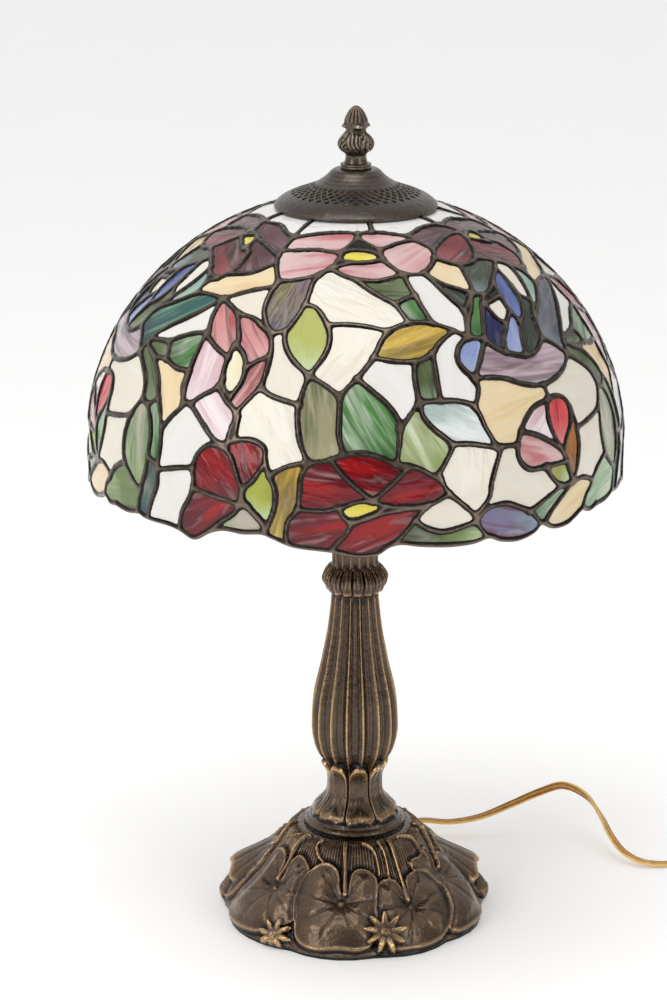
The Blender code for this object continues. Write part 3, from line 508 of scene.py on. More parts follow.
def hummingbird(seam, glass):
    seam((36.5, 71), (41, 73.5), (46, 69), (50, 63.5), (54, 59), (57, 54.5))
    seam((40.5, 73.5), (38, 80), (36, 88), (34.5, 95), (33.5, 99.5))
    seam((29, 97), (33.5, 99.5))
    seam((38.3, 79.5), (42, 78), (46.3, 76))
    seam((47.5, 67.5), (46.3, 76), (46.3, 86), (47.2, 94.5), (45.5, 103), (43.8, 113))
    seam((39, 80), (40.2, 88), (42, 94), (39.5, 101), (38.3, 109))
    seam((46.3, 86.5), (42, 94))
    seam((54.5, 58.5), (54.2, 70), (53.2, 81), (50.5, 90), (47.2, 94.5))
    seam((54.2, 72), (54.6, 79), (57, 85.5), (55, 90), (54, 94))
    seam((62.3, 59.5), (61.5, 68), (59.5, 77), (57, 85.5))
    seam((-55, 63.5), (-53.3, 70))
    seam((54, 94), (60, 86.5), (66.5, 77.5))
    seam((54, 94), (53, 99), (52, 106.5))
    seam((33.5, 99.5), (35, 104), (38.3, 109), (43.8, 113), (48, 112), (52, 106.5))
    seam((52, 106.5), (55, 111), (58.5, 119.5))
    seam((27.5, 120.5), (32, 121.3), (36, 123.5), (40, 128), (45.5, 131), (51, 129), (55, 125.5),
         (58.5, 119.5))
    seam((33.5, 99.5), (31.5, 107), (29.5, 114), (27.5, 120.5))
    seam((29, 97), (26, 101.5), (24.6, 108), (25.2, 114), (27.5, 120.5))
    seam((-42, 76.8), (-45, 83), (-49, 90), (-54, 98), (-57, 104), (-59.5, 110), (-61.5, 119.5))
    glass("slate", (47, 60))
    glass("night", (43, 75.5), (49.5, 99))
    glass("cream", (42.5, 84), (58, 68))
    glass("navy", (37, 95))
    glass("sky", (42.5, 101), (29, 108))
    glass("blue", (50, 76))
    glass("aqua", (62, 74))
    glass("lilac", (45, 121))
    glass("teal", (-55, 90))

def pink_lily(seam, glass):
    seam((-42, 76.8), (-42.2, 88), (-41, 98), (-41.4, 108), (-41.6, 120), (-41.2, 130), (-40.5, 139.5))
    seam((-34.5, 83.8), (-32.5, 92), (-31, 99), (-31.6, 104))
    seam((-41, 99.5), (-36.5, 105.5), (-32, 110))
    seam((-22, 107), (-24.5, 110.5), (-26.7, 114.5))
    seam((-31.3, 102), (-28.3, 107), (-26.7, 114.5), (-27, 123), (-28.7, 131))
    seam((-31.6, 103), (-32.2, 112), (-32, 120), (-31, 127), (-28.7, 131))
    seam((-21.8, 124), (-24.5, 132), (-26.7, 139.5))
    seam((-38.5, 138.5), (-36, 133), (-32.5, 127), (-31.8, 122))
    seam((-32.5, 126), (-30, 132.5), (-26.7, 139.5), (-27.2, 148), (-27.8, 157.5))
    seam((-40.5, 139.5), (-38.5, 138.5), (-34.5, 147), (-31.5, 153.5), (-28.5, 157.5))
    glass("rose", (-37, 92), (-27, 98), (-24.5, 120))
    glass("blush", (-37, 118), (-32, 142))
    glass("ivory", (-29.5, 116))

def left_stem(seam, glass):
    seam((-41, 98), (-46, 101), (-50.5, 106), (-52, 108.5))
    seam((-59.5, 110.5), (-55, 109), (-52, 108.5))
    seam((-52, 108.5), (-50.8, 113), (-50.2, 118.5))
    seam((-60.5, 113), (-57, 117), (-54, 119), (-50.2, 118.5), (-46, 121.3), (-42, 121.3))
    seam((-57, 117), (-53.5, 121.5), (-50.5, 129), (-48.5, 138.5), (-46.3, 147), (-45, 156),
         (-44.5, 167), (-44.8, 176))
    seam((-61.5, 119.5), (-58, 125.5), (-54.7, 133), (-53.3, 142.5))
    seam((-53.3, 142.5), (-51, 144.5), (-48.3, 140))
    seam((-41.8, 122), (-42, 130), (-40.5, 139.5), (-43, 147.5), (-45, 155))
    seam((-51, 144.5), (-49, 153), (-48, 162), (-48, 171.5), (-48.6, 181), (-50.3, 192), (-51.4, 206))
    seam((-48, 171.5), (-44.8, 174.5))
    seam((-53.3, 142.5), (-55.8, 152), (-57, 162), (-57, 171), (-56, 179), (-53.5, 185.5), (-50.3, 192))
    seam((-44.8, 175), (-45, 186), (-46.5, 196), (-48, 207))
    seam((-44.7, 177), (-40, 174), (-35.2, 171.5))
    glass("white", (-47, 96), (-39, 160), (-41, 192))
    glass("green", (-45, 111), (-47, 156))
    glass("moss", (-55, 114), (-54, 128))
    glass("honey", (-47, 130))
    glass("sage", (-53, 165))
    glass("sea", (-47.5, 186))
    glass("olive", (-57, 198))

def leaf_fan(seam, glass):
    seam((-11, 116), (-7.3, 120.5), (-3.8, 126.5))
    seam((0, 117), (-2, 121.5), (-3.8, 126.5))
    seam((-11, 116), (-12, 124), (-12.8, 134), (-12.4, 145), (-11.4, 154), (-10, 162))
    seam((-3.8, 126.5), (-3.8, 136), (-3.8, 147), (-2.8, 157.5))
    seam((0, 117), (3, 123), (6.5, 131), (8.6, 139), (8.8, 144))
    seam((8.8, 144), (8.6, 151), (7.8, 162.5))
    seam((13.5, 130.5), (11.5, 136), (8.8, 144))
    seam((13.5, 130.5), (14, 138), (16, 145), (19.5, 154), (18.2, 162), (16.3, 169))
    seam((13.5, 130.5), (18.3, 130.5), (22, 131.3), (25.5, 134.5), (26.8, 140), (27.8, 148), (29.8, 158.5))
    seam((27.5, 120.5), (27.7, 127), (26, 136))
    seam((19.5, 154), (24, 155), (29.8, 158.5))
    glass("fern", (-8, 140))
    glass("green", (2, 142))
    glass("celery", (13, 153))
    glass("frost", (21, 142))

def right_panes(seam, glass):
    seam((29.8, 158.5), (35, 159))
    seam((30.8, 158.8), (29.2, 168), (28, 177), (27.3, 185), (24.2, 193.5))
    seam((16.3, 169), (18.3, 179), (21, 185.5), (24.2, 193.5), (24.5, 196.5))
    seam((45.8, 131), (46, 139))
    seam((53, 159), (58, 157), (62, 154.8), (64.2, 152))
    seam((50.3, 187), (54, 187), (57.5, 191.5), (55.3, 198), (54, 206))
    seam((57.5, 191.5), (59.5, 186), (62, 182), (64, 179.5))
    seam((50.3, 187), (47, 193), (44, 199), (41.2, 206.5))
    seam((46.3, 187), (43, 190.5), (40, 194), (37.2, 197))
    glass("honey", (33, 140), (50, 198))
    glass("cream", (23, 172), (37, 184), (57, 140), (57, 170))

def tulip(seam, glass):
    seam((46, 139), (41.5, 141), (38.3, 146.5), (36.3, 152.5), (35, 159), (35, 167), (37.5, 173.5),
         (42, 174.3))
    seam((46, 139), (48.5, 138.5), (51, 141), (52.3, 147), (52.8, 153), (53, 159), (53, 168), (52, 178),
         (50.3, 187))
    seam((42, 174.3), (48.2, 174.3))
    seam((45.6, 139), (44.6, 148), (45, 157), (46.5, 166), (48.2, 174.3), (49, 180), (50.3, 187))
    seam((36.3, 152.5), (41, 157), (46.5, 166))
    seam((52.3, 147), (51, 156), (48.4, 164), (47.6, 170))
    seam((42, 174.3), (43.5, 181), (46.3, 187), (50.3, 187))
    glass("blush", (42, 149))
    glass("pink", (40, 167))
    glass("coral", (48.5, 148))
    glass("rust", (51, 171))
    glass("lime", (46, 181))
    glass("green", (43, 197))

def red_bud(seam, glass):
    seam((-28.5, 157.5), (-31.8, 158), (-34.2, 163.5), (-35.2, 171.5), (-34.9, 180), (-36, 188.5),
         (-38, 198), (-38.6, 208))
    seam((-28.5, 157.5), (-26.3, 163), (-24.9, 171), (-23.6, 180), (-24.2, 187.5))
    seam((-28.5, 157.5), (-26, 153.5), (-22, 152.6), (-19.3, 156), (-18.8, 163), (-17.8, 170))
    seam((-25.8, 140.5), (-26, 153.5))
    seam((-34.9, 182.5), (-30, 185), (-24.2, 187.5))
    seam((-18.9, 164), (-21, 172.5), (-23.6, 180.5), (-22.4, 188), (-19.3, 196))
    seam((-24.2, 187.5), (-25.5, 193), (-28.5, 199), (-31, 205))
    seam((-24, 187.5), (-22.4, 188))
    seam((-22.4, 188), (-19.3, 196), (-18.8, 204))
    seam((-17.8, 170), (-16.6, 178), (-16.7, 187), (-17.8, 196), (-19, 203))
    seam((-17.8, 170), (-15, 165.5), (-12, 162.8), (-10, 162))
    glass("ruby", (-30, 172), (-22.5, 164), (-31, 197))
    glass("lime", (-19.5, 182))
    glass("sage", (-23, 197))
    glass("amber", (-14, 180))

def red_flower(seam, glass):
    seam((-10, 162), (-6, 160.3), (-2.8, 157.3), (1, 156.3), (4.5, 158.5), (7.8, 162.5), (10, 164.5))
    seam((-5.3, 160), (-2.8, 168), (0, 175), (3, 181.5))
    seam((10, 164.5), (7, 172.5), (3, 181.5))
    seam((-10, 162), (-11.3, 170), (-11.5, 178), (-11.9, 187), (-13.8, 194), (-14.3, 201), (-13.8, 208))
    seam((-11.9, 187), (-7, 187.3), (-3.5, 185.3), (0, 182), (3, 181.5))
    seam((7.8, 162.5), (12, 165), (14.8, 169), (16.8, 172))
    seam((3, 181.5), (5.8, 184.5), (9, 185.3), (14, 185.3), (18.5, 180))
    seam((-3.5, 185.3), (-3, 189.5), (-1.2, 193), (3, 189.5), (5.8, 184.5))
    seam((-1.2, 193), (-2, 199), (-4, 205), (-5.5, 211))
    seam((-1.2, 194), (2, 191), (6, 188), (13.8, 185.5))
    seam((14, 185.3), (11.5, 193), (9, 201), (6.5, 208))
    seam((11.5, 193), (14, 198), (18, 200.8), (24.5, 197))
    seam((24.5, 196.5), (27, 190.8), (31, 189.5), (34.5, 193), (38, 198), (40.8, 206.5))
    seam((24.5, 197), (26, 203), (28, 209))
    glass("ruby", (2, 168), (-8, 177), (-8, 198), (4, 200), (11, 176))
    glass("lemon", (1, 188))
    glass("cream", (17, 192))
    glass("olive", (17, 205))
    glass("iris", (32, 202))

RIM = (
    (-60, 208), (-55, 208.3), (-51, 206.5), (-48.5, 207.8), (-42, 207.8), (-38.5, 209), (-35, 212),
    (-31.5, 207),
    (-28, 204), (-23.5, 204.3), (-19.5, 203.3), (-17, 205.3), (-13, 208.8), (-8, 210), (-4, 211), (0, 213),
    (4, 212), (6.5, 208), (9, 206.8), (13, 208.5), (19, 210), (24, 209.8), (27.5, 208), (30.5, 211),
    (34.5, 212.5),
    (38.5, 210.5), (41, 206.8), (44.5, 210.8), (49, 211), (54, 206.3), (57, 208.8), (60, 208),
)
MOTIFS = (crown_band, pink_flower, plum_flower, upper_left_panes, upper_right_panes, hummingbird, pink_lily,
          left_stem, leaf_fan, right_panes, tulip, red_bud, red_flower)

# ---------------------------------------------------------------- the dome the shade follows

CROWN_RADIUS = 40.0
SHADE_RADIUS = 152.4
SHOULDER_Z = 298.6
DOME_RISE = 132.2
SKIRT = 45
PLAN_POWER = 2.115
RISE_POWER = 1.7988
DOME_STEPS = 3000

def dome_table():
    """Arc length from the crown, radius and height down the dome and its straight skirt."""
    start = math.asin((CROWN_RADIUS / SHADE_RADIUS) ** (PLAN_POWER / 2))
    t = np.linspace(start, math.pi / 2, DOME_STEPS)
    r = SHADE_RADIUS * np.sin(t) ** (2 / PLAN_POWER)
    z = SHOULDER_Z + DOME_RISE * np.abs(np.cos(t)) ** (2 / RISE_POWER)
    r = np.append(r, SHADE_RADIUS)
    z = np.append(z, SHOULDER_Z - SKIRT)
    s = np.concatenate([[0], np.cumsum(np.hypot(np.diff(r), np.diff(z)))])
    return s, r, z

DOME_S, DOME_R, DOME_Z = dome_table()
SLOPE_R = np.gradient(DOME_R, DOME_S)
SLOPE_Z = np.gradient(DOME_Z, DOME_S)

def on_dome(degrees, s, out):
    """Points at an azimuth, an arc length below the crown and a height off the dome."""
    r = np.interp(s, DOME_S, DOME_R) - out * np.interp(s, DOME_S, SLOPE_Z)
    z = np.interp(s, DOME_S, DOME_Z) + out * np.interp(s, DOME_S, SLOPE_R)
    return round_axis(r, degrees, z)

# ---------------------------------------------------------------- seams, panes and solder

REPEAT = 120.0
TURNS = (0, REPEAT, -REPEAT)
SEAM_COLUMNS = 330
SEAM_ROWS = 280
TOP_S = 1.5
EDGE_ROUND = 1.3
EDGE_STEPS = (0.4, 0.8, 1.1, 1.3)
SEAM_REACH = 9.0
SEAM_STEPS = 5
RIM_STEPS = 6
SOLDER_HALF = 1.7
CORNER_BLEND = 0.8
SMALLEST_PANE = 12
GLASS_TOP = -0.4
GLASS_THICK = 2.6
MOST_FLAT = 0.8
FLAT_DROP = 0.55
BEAD_HEIGHT = 1.1
BEAD_FALL = 1.3
INNER_BEAD = 0.8
TUCK = 0.9
LEAD_CREST = 0.9
BIG_SHEETS = ("cream", "white")
FOUR_WAYS = ((0, 1), (0, -1), (1, 1), (1, -1))

def collect_pattern():
    seams, glass = [], []
    for motif in MOTIFS:
        motif(lambda *points: seams.append(points),
              lambda kind, *points: glass.extend((kind, point) for point in points))
    return seams, glass

def azimuth(column):
    return -REPEAT / 2 + column * REPEAT / SEAM_COLUMNS

def seam_grid():
    """Azimuth and arc length of every grid corner over one repeat; the last rows round the rim."""
    degrees = azimuth(np.arange(SEAM_COLUMNS))
    rim = catmull(RIM, RIM_STEPS)
    order = np.argsort(rim[:, 0])
    edge = np.interp(degrees, rim[order, 0], rim[order, 1]) - EDGE_ROUND
    share = np.linspace(0, 1, SEAM_ROWS)
    s = TOP_S + (edge[:, None] - TOP_S) * share
    s = np.concatenate([s, edge[:, None] + np.array(EDGE_STEPS)], axis=1)
    return np.broadcast_to(degrees[:, None], s.shape), s

def seam_distance(degrees, s, seams):
    """Blended distance in mm from each grid corner to the seams, smaller where seams meet."""
    radius = np.interp(s, DOME_S, DOME_R)
    total = np.zeros(s.shape)
    for seam in seams:
        line = catmull(seam, SEAM_STEPS)
        top, bottom = line[:, 1].min() - SEAM_REACH, line[:, 1].max() + SEAM_REACH
        spread = SEAM_REACH / (max(np.interp(line[:, 1].min(), DOME_S, DOME_R), 30) * RAD)
        for shift in TURNS:
            low, high = line[:, 0].min() + shift - spread, line[:, 0].max() + shift + spread
            columns = np.where((degrees[:, 0] > low) & (degrees[:, 0] < high))[0]
            if not len(columns):
                continue
            rows = np.where((s.max(0) > top) & (s.min(0) < bottom))[0]
            near = slice(columns[0], columns[-1] + 1), slice(rows[0], rows[-1] + 1)
            x, y, r = degrees[near], s[near], radius[near] * RAD
            nearest = np.full(x.shape, 1e9)
            for (ax, ay), (bx, by) in zip(line, line[1:]):
                gap = segment_gap((x - ax - shift) * r, y - ay, (bx - ax) * r, by - ay)
                nearest = np.minimum(nearest, gap)
            total[near] += np.exp(-nearest / CORNER_BLEND)
    return -CORNER_BLEND * np.log(total + 1e-6)

def moved(field, axis, step):
    """The field moved by one cell; columns wrap round the repeat and rows don't."""
    near = np.roll(field, step, axis)
    if axis == 1:
        near[:, 0 if step == 1 else -1] = 0
    return near

def label_panes(open_cells):
    """Numbers the connected open cells."""
    labels = np.where(open_cells, np.arange(1, open_cells.size + 1).reshape(open_cells.shape), 0)
    while True:
        grown = labels
        for way in FOUR_WAYS:
            grown = np.where(open_cells, np.maximum(grown, moved(grown, *way)), 0)
        if (grown == labels).all():
            return labels
        labels = grown

def tuck_under(labels):
    """Grows each pane one cell under the solder."""
    for way in FOUR_WAYS:
        labels = np.where(labels == 0, moved(labels, *way), labels)
    return labels

def pane_at(labels, s, point):
    column = int((point[0] + REPEAT / 2) / REPEAT * SEAM_COLUMNS) % SEAM_COLUMNS
    row = int(np.argmin(np.abs(s[column, :SEAM_ROWS] - point[1])))
    return int(labels[column, row])

def corner_mean(field):
    wrapped = np.concatenate([field, field[:1]])
    return (wrapped[:-1, :-1] + wrapped[1:, :-1] + wrapped[:-1, 1:] + wrapped[1:, 1:]) / 4

def bead(distance):
    """Height of the solder above the glass line, rounded on top and tucked under the glass beside it."""
    beside = np.clip(distance - SOLDER_HALF, 0, TUCK + 0.6)
    return BEAD_HEIGHT * dome(distance, SOLDER_HALF) - BEAD_FALL * beside

def make_solder(degrees, s, distance, columns, rows):
    past = np.clip((s - s[:, SEAM_ROWS - 1:SEAM_ROWS]) / EDGE_ROUND, 0, 1)
    shrink = dome(past, 1)
    lumps = 0.22 * smooth_noise(degrees * 1.1, s * 0.6, 3, 1.1)
    lumps = lumps + 0.12 * smooth_noise(degrees * 2.6, s * 1.2, 5, 1.0)
    middle = GLASS_TOP - GLASS_THICK / 2
    top = GLASS_TOP + bead(distance) + lumps
    under = GLASS_TOP - GLASS_THICK - bead(distance) * INNER_BEAD
    for number, turn in enumerate(TURNS):
        def skin(field):
            def points_at(i, j):
                cell = i % SEAM_COLUMNS, j
                return on_dome(azimuth(i) + turn, s[cell], middle + (field - middle)[cell] * shrink[cell])
            return points_at

        points, quads, i, j = grid_solid(columns, rows, skin(top), skin(under))
        # Crest runs from 1 on a seam's middle line to 0 at the bead's edge; the solder look paints a
        # highlight along it
        crest = np.clip(1 - distance[i % SEAM_COLUMNS, j] / SOLDER_HALF, 0, 1)
        piece = mesh_piece(f"solder_{number + 1}", SOLDER_WITH_PAINTED_HIGHLIGHT, points, quads,
                           attributes={"relief": np.tile(crest, 2)})
        place(piece, "shade", "solder", *(("solder_lattice", "rim_wire") if number == 0 else ()))

def make_pane(columns, rows, s, turn, number, tone):
    """One pane: its cells as a closed plate, partly flattened, with coordinates for its streaks."""
    middle_s = s[columns % SEAM_COLUMNS, rows].mean()
    radius = np.interp(middle_s, DOME_S, DOME_R)
    middle_azimuth = azimuth(columns.mean())

    def flat(i, j):
        x = (azimuth(i) - middle_azimuth) * RAD * radius
        return np.stack([x, s[i % SEAM_COLUMNS, j] - middle_s], axis=-1)

    cells = flat(columns, rows)
    vectors = np.linalg.eigh(np.cov(cells.T))[1]
    axis = vectors[:, 1] if vectors[1, 1] >= 0 else -vectors[:, 1]
    side = np.array([axis[1], -axis[0]])

    def surface(i, j, out):
        return on_dome(azimuth(i) + turn, s[i % SEAM_COLUMNS, j], out)

    sample = surface(columns, rows, GLASS_TOP)
    middle = sample.mean(0)
    some = (sample - middle)[::max(1, len(sample) // 400)]
    normal = np.linalg.svd(some, full_matrices=False)[2][2]
    bulge = np.abs((sample - middle) @ normal).max()
    blend = min(MOST_FLAT, FLAT_DROP / (bulge + 1e-6))

    def sheet(depth):
        def skin(i, j):
            drop = (surface(i, j, GLASS_TOP) - middle) @ normal
            return surface(i, j, GLASS_TOP - depth) - blend * drop[:, None] * normal
        return skin

    points, quads, i, j = grid_solid(columns, rows, sheet(0), sheet(GLASS_THICK))
    here = flat(i, j)
    streak = np.stack([here @ axis, here @ side, np.full(len(here), number * 37.0)], axis=-1)
    along = (here @ axis) / np.abs(cells @ axis).max()
    return points, quads, (), {"streak": np.tile(streak, (2, 1)), "along": np.tile(along, 2),
                               "tone": np.full(len(points), tone)}

def make_glass(s, labels, seeds):
    """Every pane in each repeat: a piece for each kind of glass, and for each repeat of the big sheets."""
    kinds = {pane_at(labels, s, point): kind for kind, point in seeds}
    batches = {}
    number = 0
    for name, count in zip(*np.unique(labels[labels > 0], return_counts=True)):
        kind = kinds.get(int(name), "cream")
        if kind == "lead" or count < SMALLEST_PANE:
            continue
        columns, rows = np.where(labels == name)
        if columns.max() - columns.min() > SEAM_COLUMNS / 2:
            columns = np.where(columns > SEAM_COLUMNS / 2, columns - SEAM_COLUMNS, columns)
        for repeat, turn in enumerate(TURNS):
            number += 1
            shown = COPY_GLASS.get((kind, repeat), kind)
            piece_name = f"panes_{shown}_{repeat + 1}" if shown in BIG_SHEETS else f"panes_{shown}"
            pane = make_pane(columns, rows, s, turn, number, RNG.uniform(0, 1))
            batches.setdefault((piece_name, shown), []).append(pane)
    left = {f"glass_{band}_{n:02d}" for band in ("upper", "lower") for n in range(1, 11)}
    for (piece_name, kind), panes in batches.items():
        look, slot = GLASS_LOOKS[kind]
        piece = mesh_piece(piece_name, look, *join_parts(panes))
        stands_for = sorted(node for node in left if SLOT_OF_NODE[node] == slot)
        left -= set(stands_for)
        place(piece, "shade", slot, *stands_for)
    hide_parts(*sorted(left))

def make_shade():
    seams, seeds = collect_pattern()
    degrees, s = seam_grid()
    rim = [(x, y - EDGE_ROUND) for x, y in RIM]
    distance = seam_distance(degrees, s, seams + [rim])
    distance[:, SEAM_ROWS:] = np.minimum(distance[:, SEAM_ROWS:], 0)
    distance = np.clip(distance, 0, None)
    cells = corner_mean(distance)
    labels = label_panes(cells > SOLDER_HALF)
    lead = {pane_at(labels, s, point) for kind, point in seeds if kind == "lead"}
    names, counts = np.unique(labels[labels > 0], return_counts=True)
    lead |= {int(name) for name, count in zip(names, counts) if count < SMALLEST_PANE}
    filled = np.isin(labels, list(lead - {0}))
    columns, rows = np.where((cells < SOLDER_HALF + TUCK) | filled)
    for column_step in (0, 1):
        near = np.roll(filled, column_step, 0)
        for row_step in (0, 1):
            block = distance[:, row_step:row_step + near.shape[1]]
            block[near] = np.minimum(block[near], LEAD_CREST)
    make_solder(degrees, s, distance, columns, rows)
    make_glass(s, tuck_under(labels), seeds)

# ---------------------------------------------------------------- turned and cast metal

# Broad relief: the broad crests of pads and leaves are drawn lighter and their dishes darker; this is partly
# rubbed wear and partly painted highlight and painted shade
BROAD_WEAR_AND_PAINTED_LIGHT = 0.06
BROAD_REACH = 16
BORE_RELIEF = 0.1

def resample(profile, pitch, smooth=6):
    """Even steps of r and z on a smooth line through (z, r) knots, with outward normals and arc lengths."""
    line = catmull([(r, z) for z, r in profile], smooth)
    s = np.concatenate([[0], np.cumsum(np.hypot(*np.diff(line, axis=0).T))])
    grid = np.linspace(0, s[-1], max(3, int(s[-1] / pitch)))
    r, z = np.interp(grid, s, line[:, 0]), np.interp(grid, s, line[:, 1])
    tr, tz = np.gradient(r, grid), np.gradient(z, grid)
    size = np.hypot(tr, tz)
    return r, z, tz / size, -tr / size, grid

def blur(field, reach):
    """Mean over a square window; the first axis wraps round."""
    window = 2 * reach + 1
    total = sum(np.roll(field, k - reach, 0) for k in range(window)) / window
    padded = np.pad(total, ((0, 0), (reach, reach)), mode="edge")
    width = total.shape[1]
    return sum(padded[:, k:k + width] for k in range(window)) / window

def cast_ring(name, profile, bore, columns, pitch, height, material, reach=3, sharp=1.1, base=0.36,
              plan=None):
    """A closed cast body of revolution.

    height gives the relief of its outside over (azimuth, arc, z, radius), and plan moves all of it outwards
    over (azimuth, z). The relief attribute is base on level metal and gains sharp a millimetre on a ridge.
    """
    r, z, nr, nz, arc = resample(profile, pitch)
    degrees = np.arange(columns) * 360 / columns
    a, v = np.meshgrid(degrees, arc, indexing="ij")
    radius, level = np.broadcast_to(r, a.shape), np.broadcast_to(z, a.shape)
    h = height(a, v, level, radius)
    # The broad term paints broad crests lighter and broad dishes darker: rubbed wear, painted highlight and
    # painted shade
    relief = base + sharp * (h - blur(h, reach)) + BROAD_WEAR_AND_PAINTED_LIGHT * (h - blur(h, BROAD_REACH))
    bore_z, bore_r = (np.tile(values, (columns, 1)) for values in np.array(bore).T)
    spread, bore_spread = (plan(a, level), plan(a[:, :1], bore_z)) if plan else (0, 0)
    ring_r = np.concatenate([radius + spread + h * nr, bore_r + bore_spread], axis=1)
    ring_z = np.concatenate([level + h * nz, bore_z], axis=1)
    relief = np.concatenate([relief, np.full(bore_r.shape, BORE_RELIEF)], axis=1)
    points = round_axis(ring_r, degrees[:, None], ring_z).reshape(-1, 3)
    rows = ring_r.shape[1]
    i, j = np.meshgrid(np.arange(columns), np.arange(rows), indexing="ij")
    i2, j2 = (i + 1) % columns, (j + 1) % rows
    quads = np.stack([i * rows + j, i2 * rows + j, i2 * rows + j2, i * rows + j2], axis=-1)
    return mesh_piece(name, material, points, quads, attributes={"relief": relief.ravel()})

def band(value, rise, full, fall, end):
    """A window that rises from 0 to 1 and falls again."""
    return smoothstep(rise, full, value) * (1 - smoothstep(fall, end, value))

def line_distance(a, v, r, line, closed=False):
    """Distance in mm to a line given as (degrees, mm up the slope), and whether a point is inside it."""
    nearest = np.full(a.shape, 1e9)
    inside = np.zeros(a.shape, bool)
    middle = line[:, 0].mean()
    da = wrap(a - middle)
    scale = r * RAD
    ends = np.roll(line, -1, 0) if closed else line[1:]
    for (ax, ay), (bx, by) in zip(line, ends):
        gap = segment_gap((da - (ax - middle)) * scale, v - ay, (bx - ax) * scale, by - ay)
        nearest = np.minimum(nearest, gap)
        if closed:
            slant = (bx - ax) * (v - ay) / (by - ay + 1e-12)
            inside ^= ((ay > v) != (by > v)) & (da < slant + ax - middle)
    return nearest, inside

def outline_depth(a, v, r, outline):
    """Distance in mm from a smooth closed outline, and the same distance counted as negative outside it."""
    away, inside = line_distance(a, v, r, catmull(outline, OUTLINE_STEPS, closed=True), closed=True)
    return away, np.where(inside, away, -away)

def polar(a, v, r, centre):
    """Distance in mm and direction from a centre given as (degrees, mm up the slope)."""
    x, y = wrap(a - centre[0]) * r * RAD, v - centre[1]
    return np.hypot(x, y), np.arctan2(x, y)

# ---------------------------------------------------------------- column

COLUMN_PROFILE = (
    (54.9, 27.4), (55.3, 28.8), (56.6, 29.5), (58.0, 28.9), (58.9, 27.5), (59.4, 26.7), (60.6, 26.8),
    (61.9, 26.1),
    (63.0, 24.4), (64.8, 23.2), (67.0, 21.2), (70.0, 18.4), (73.0, 16.4), (76.0, 15.5), (80.0, 15.2),
    (85.0, 15.3),
    (90.0, 16.0), (94.0, 17.6), (98.2, 20.2), (101.4, 21.8), (104.5, 23.0), (107.7, 23.8), (111.0, 24.5),
    (116.0, 25.0),
    (123.0, 24.9), (129.7, 24.4), (136.0, 23.6), (142.0, 22.3), (148.4, 20.8), (154.7, 19.3), (161.0, 18.1),
    (167.0, 16.9), (173.0, 15.8), (179.4, 14.9), (187.0, 14.0), (192.0, 13.5), (197.4, 13.2), (198.6, 13.8),
    (201.0, 15.9), (204.0, 17.6), (207.0, 18.7), (210.0, 17.7), (213.0, 15.6), (216.2, 13.3), (222.0, 13.1),
    (228.0, 13.2), (231.8, 15.6),
)
COLUMN_BORE = ((231.6, 14.2), (228.0, 7.5), (58.0, 7.5), (55.2, 26.0))
COLUMN_COLUMNS = 720
COLUMN_PITCH = 0.7
FLUTES = 16
FLUTE_TURN = 11.25
FLUTE_DEPTH = 2.1
# Heights at which each part of the relief sets in, is full, fades and ends
FLUTED_Z = (84, 89, 196, 199)
NECK_Z = (215, 218, 228, 231)
KNOP_Z = (198.3, 200.5, 213.5, 216)
KNOP_LIP_Z = 201.0
LEAVES = 8
LEAF_TURN = 8.0
LEAF_BOTTOM_Z = 61
LEAF_TOP_Z = 97
LEAF_CURL_Z = (84, 94)
LEAF_OUTLINE = ((-21.8, 64), (-22.2, 72), (-22, 81), (-20.2, 88), (-13.5, 93.2), (-4.5, 95.2), (4.5, 95.2),
                (13.5, 93.2), (20.2, 88), (22, 81), (22.2, 72), (21.8, 64), (13, 61.8), (0, 62.6),
                (-13, 61.8))
OUTLINE_STEPS = 4

def column_height(a, v, z, r):
    off = np.abs(wrap((a - FLUTE_TURN) * FLUTES)) / 360
    fluted = band(z, *FLUTED_Z) + band(z, *NECK_Z) * 0.6
    hollow = 1 - np.exp(-(off / 0.20) ** 2)
    h = fluted * (-FLUTE_DEPTH * (r / 24) * hollow + 0.7 * ridge(off, 0.11))
    h = h + fluted * 0.10 * np.cos(off * 2 * np.pi * 5)
    # lily leaves round the foot: an arched, rolled tip, a thin rim, a shallow dish and a rounded lower end
    side = wrap((a - LEAF_TURN) * LEAVES) / LEAVES
    away, inward = outline_depth(side, z, r, LEAF_OUTLINE)
    curl = smoothstep(*LEAF_CURL_Z, z)
    leaf = 0.4 + 0.7 * smoothstep(0, 2.5, away) - 0.8 * smoothstep(2.5, 7, away) + 1.5 * curl
    leaf = leaf + 0.6 * ridge(inward - 0.7, 0.7) + 0.25 * ridge(side * r * RAD, 0.7) * (1 - curl)
    on = smoothstep(-0.4, 0.9, inward)
    low = (z > LEAF_BOTTOM_Z) & (z < LEAF_TOP_Z)
    h = np.where(low, (h - 0.3 * ridge(inward + 1.0, 1.0)) * (1 - on) + leaf * on, h)
    # gadroon leaves of the knop
    knop = band(z, *KNOP_Z)
    gadroon = np.abs(wrap((a - FLUTE_TURN / 2) * FLUTES)) / 180
    h = h + knop * (0.5 - 1.2 * gadroon ** 3) + knop * 0.6 * ridge(z - KNOP_LIP_Z, 1.1) * (1 - gadroon ** 2)
    h = h + 0.3 * knop * np.cos(gadroon * np.pi * 3) * smoothstep(202, 206, z)
    return h + 0.05 * smooth_noise(a, z * 1.5, 21, 1.2)

def make_column():
    piece = cast_ring("column", COLUMN_PROFILE, COLUMN_BORE, COLUMN_COLUMNS, COLUMN_PITCH, column_height,
                      BRONZE, reach=6, sharp=0.74, base=0.3)
    place(piece, "base", "bronze", "column_casting")

# ---------------------------------------------------------------- foot

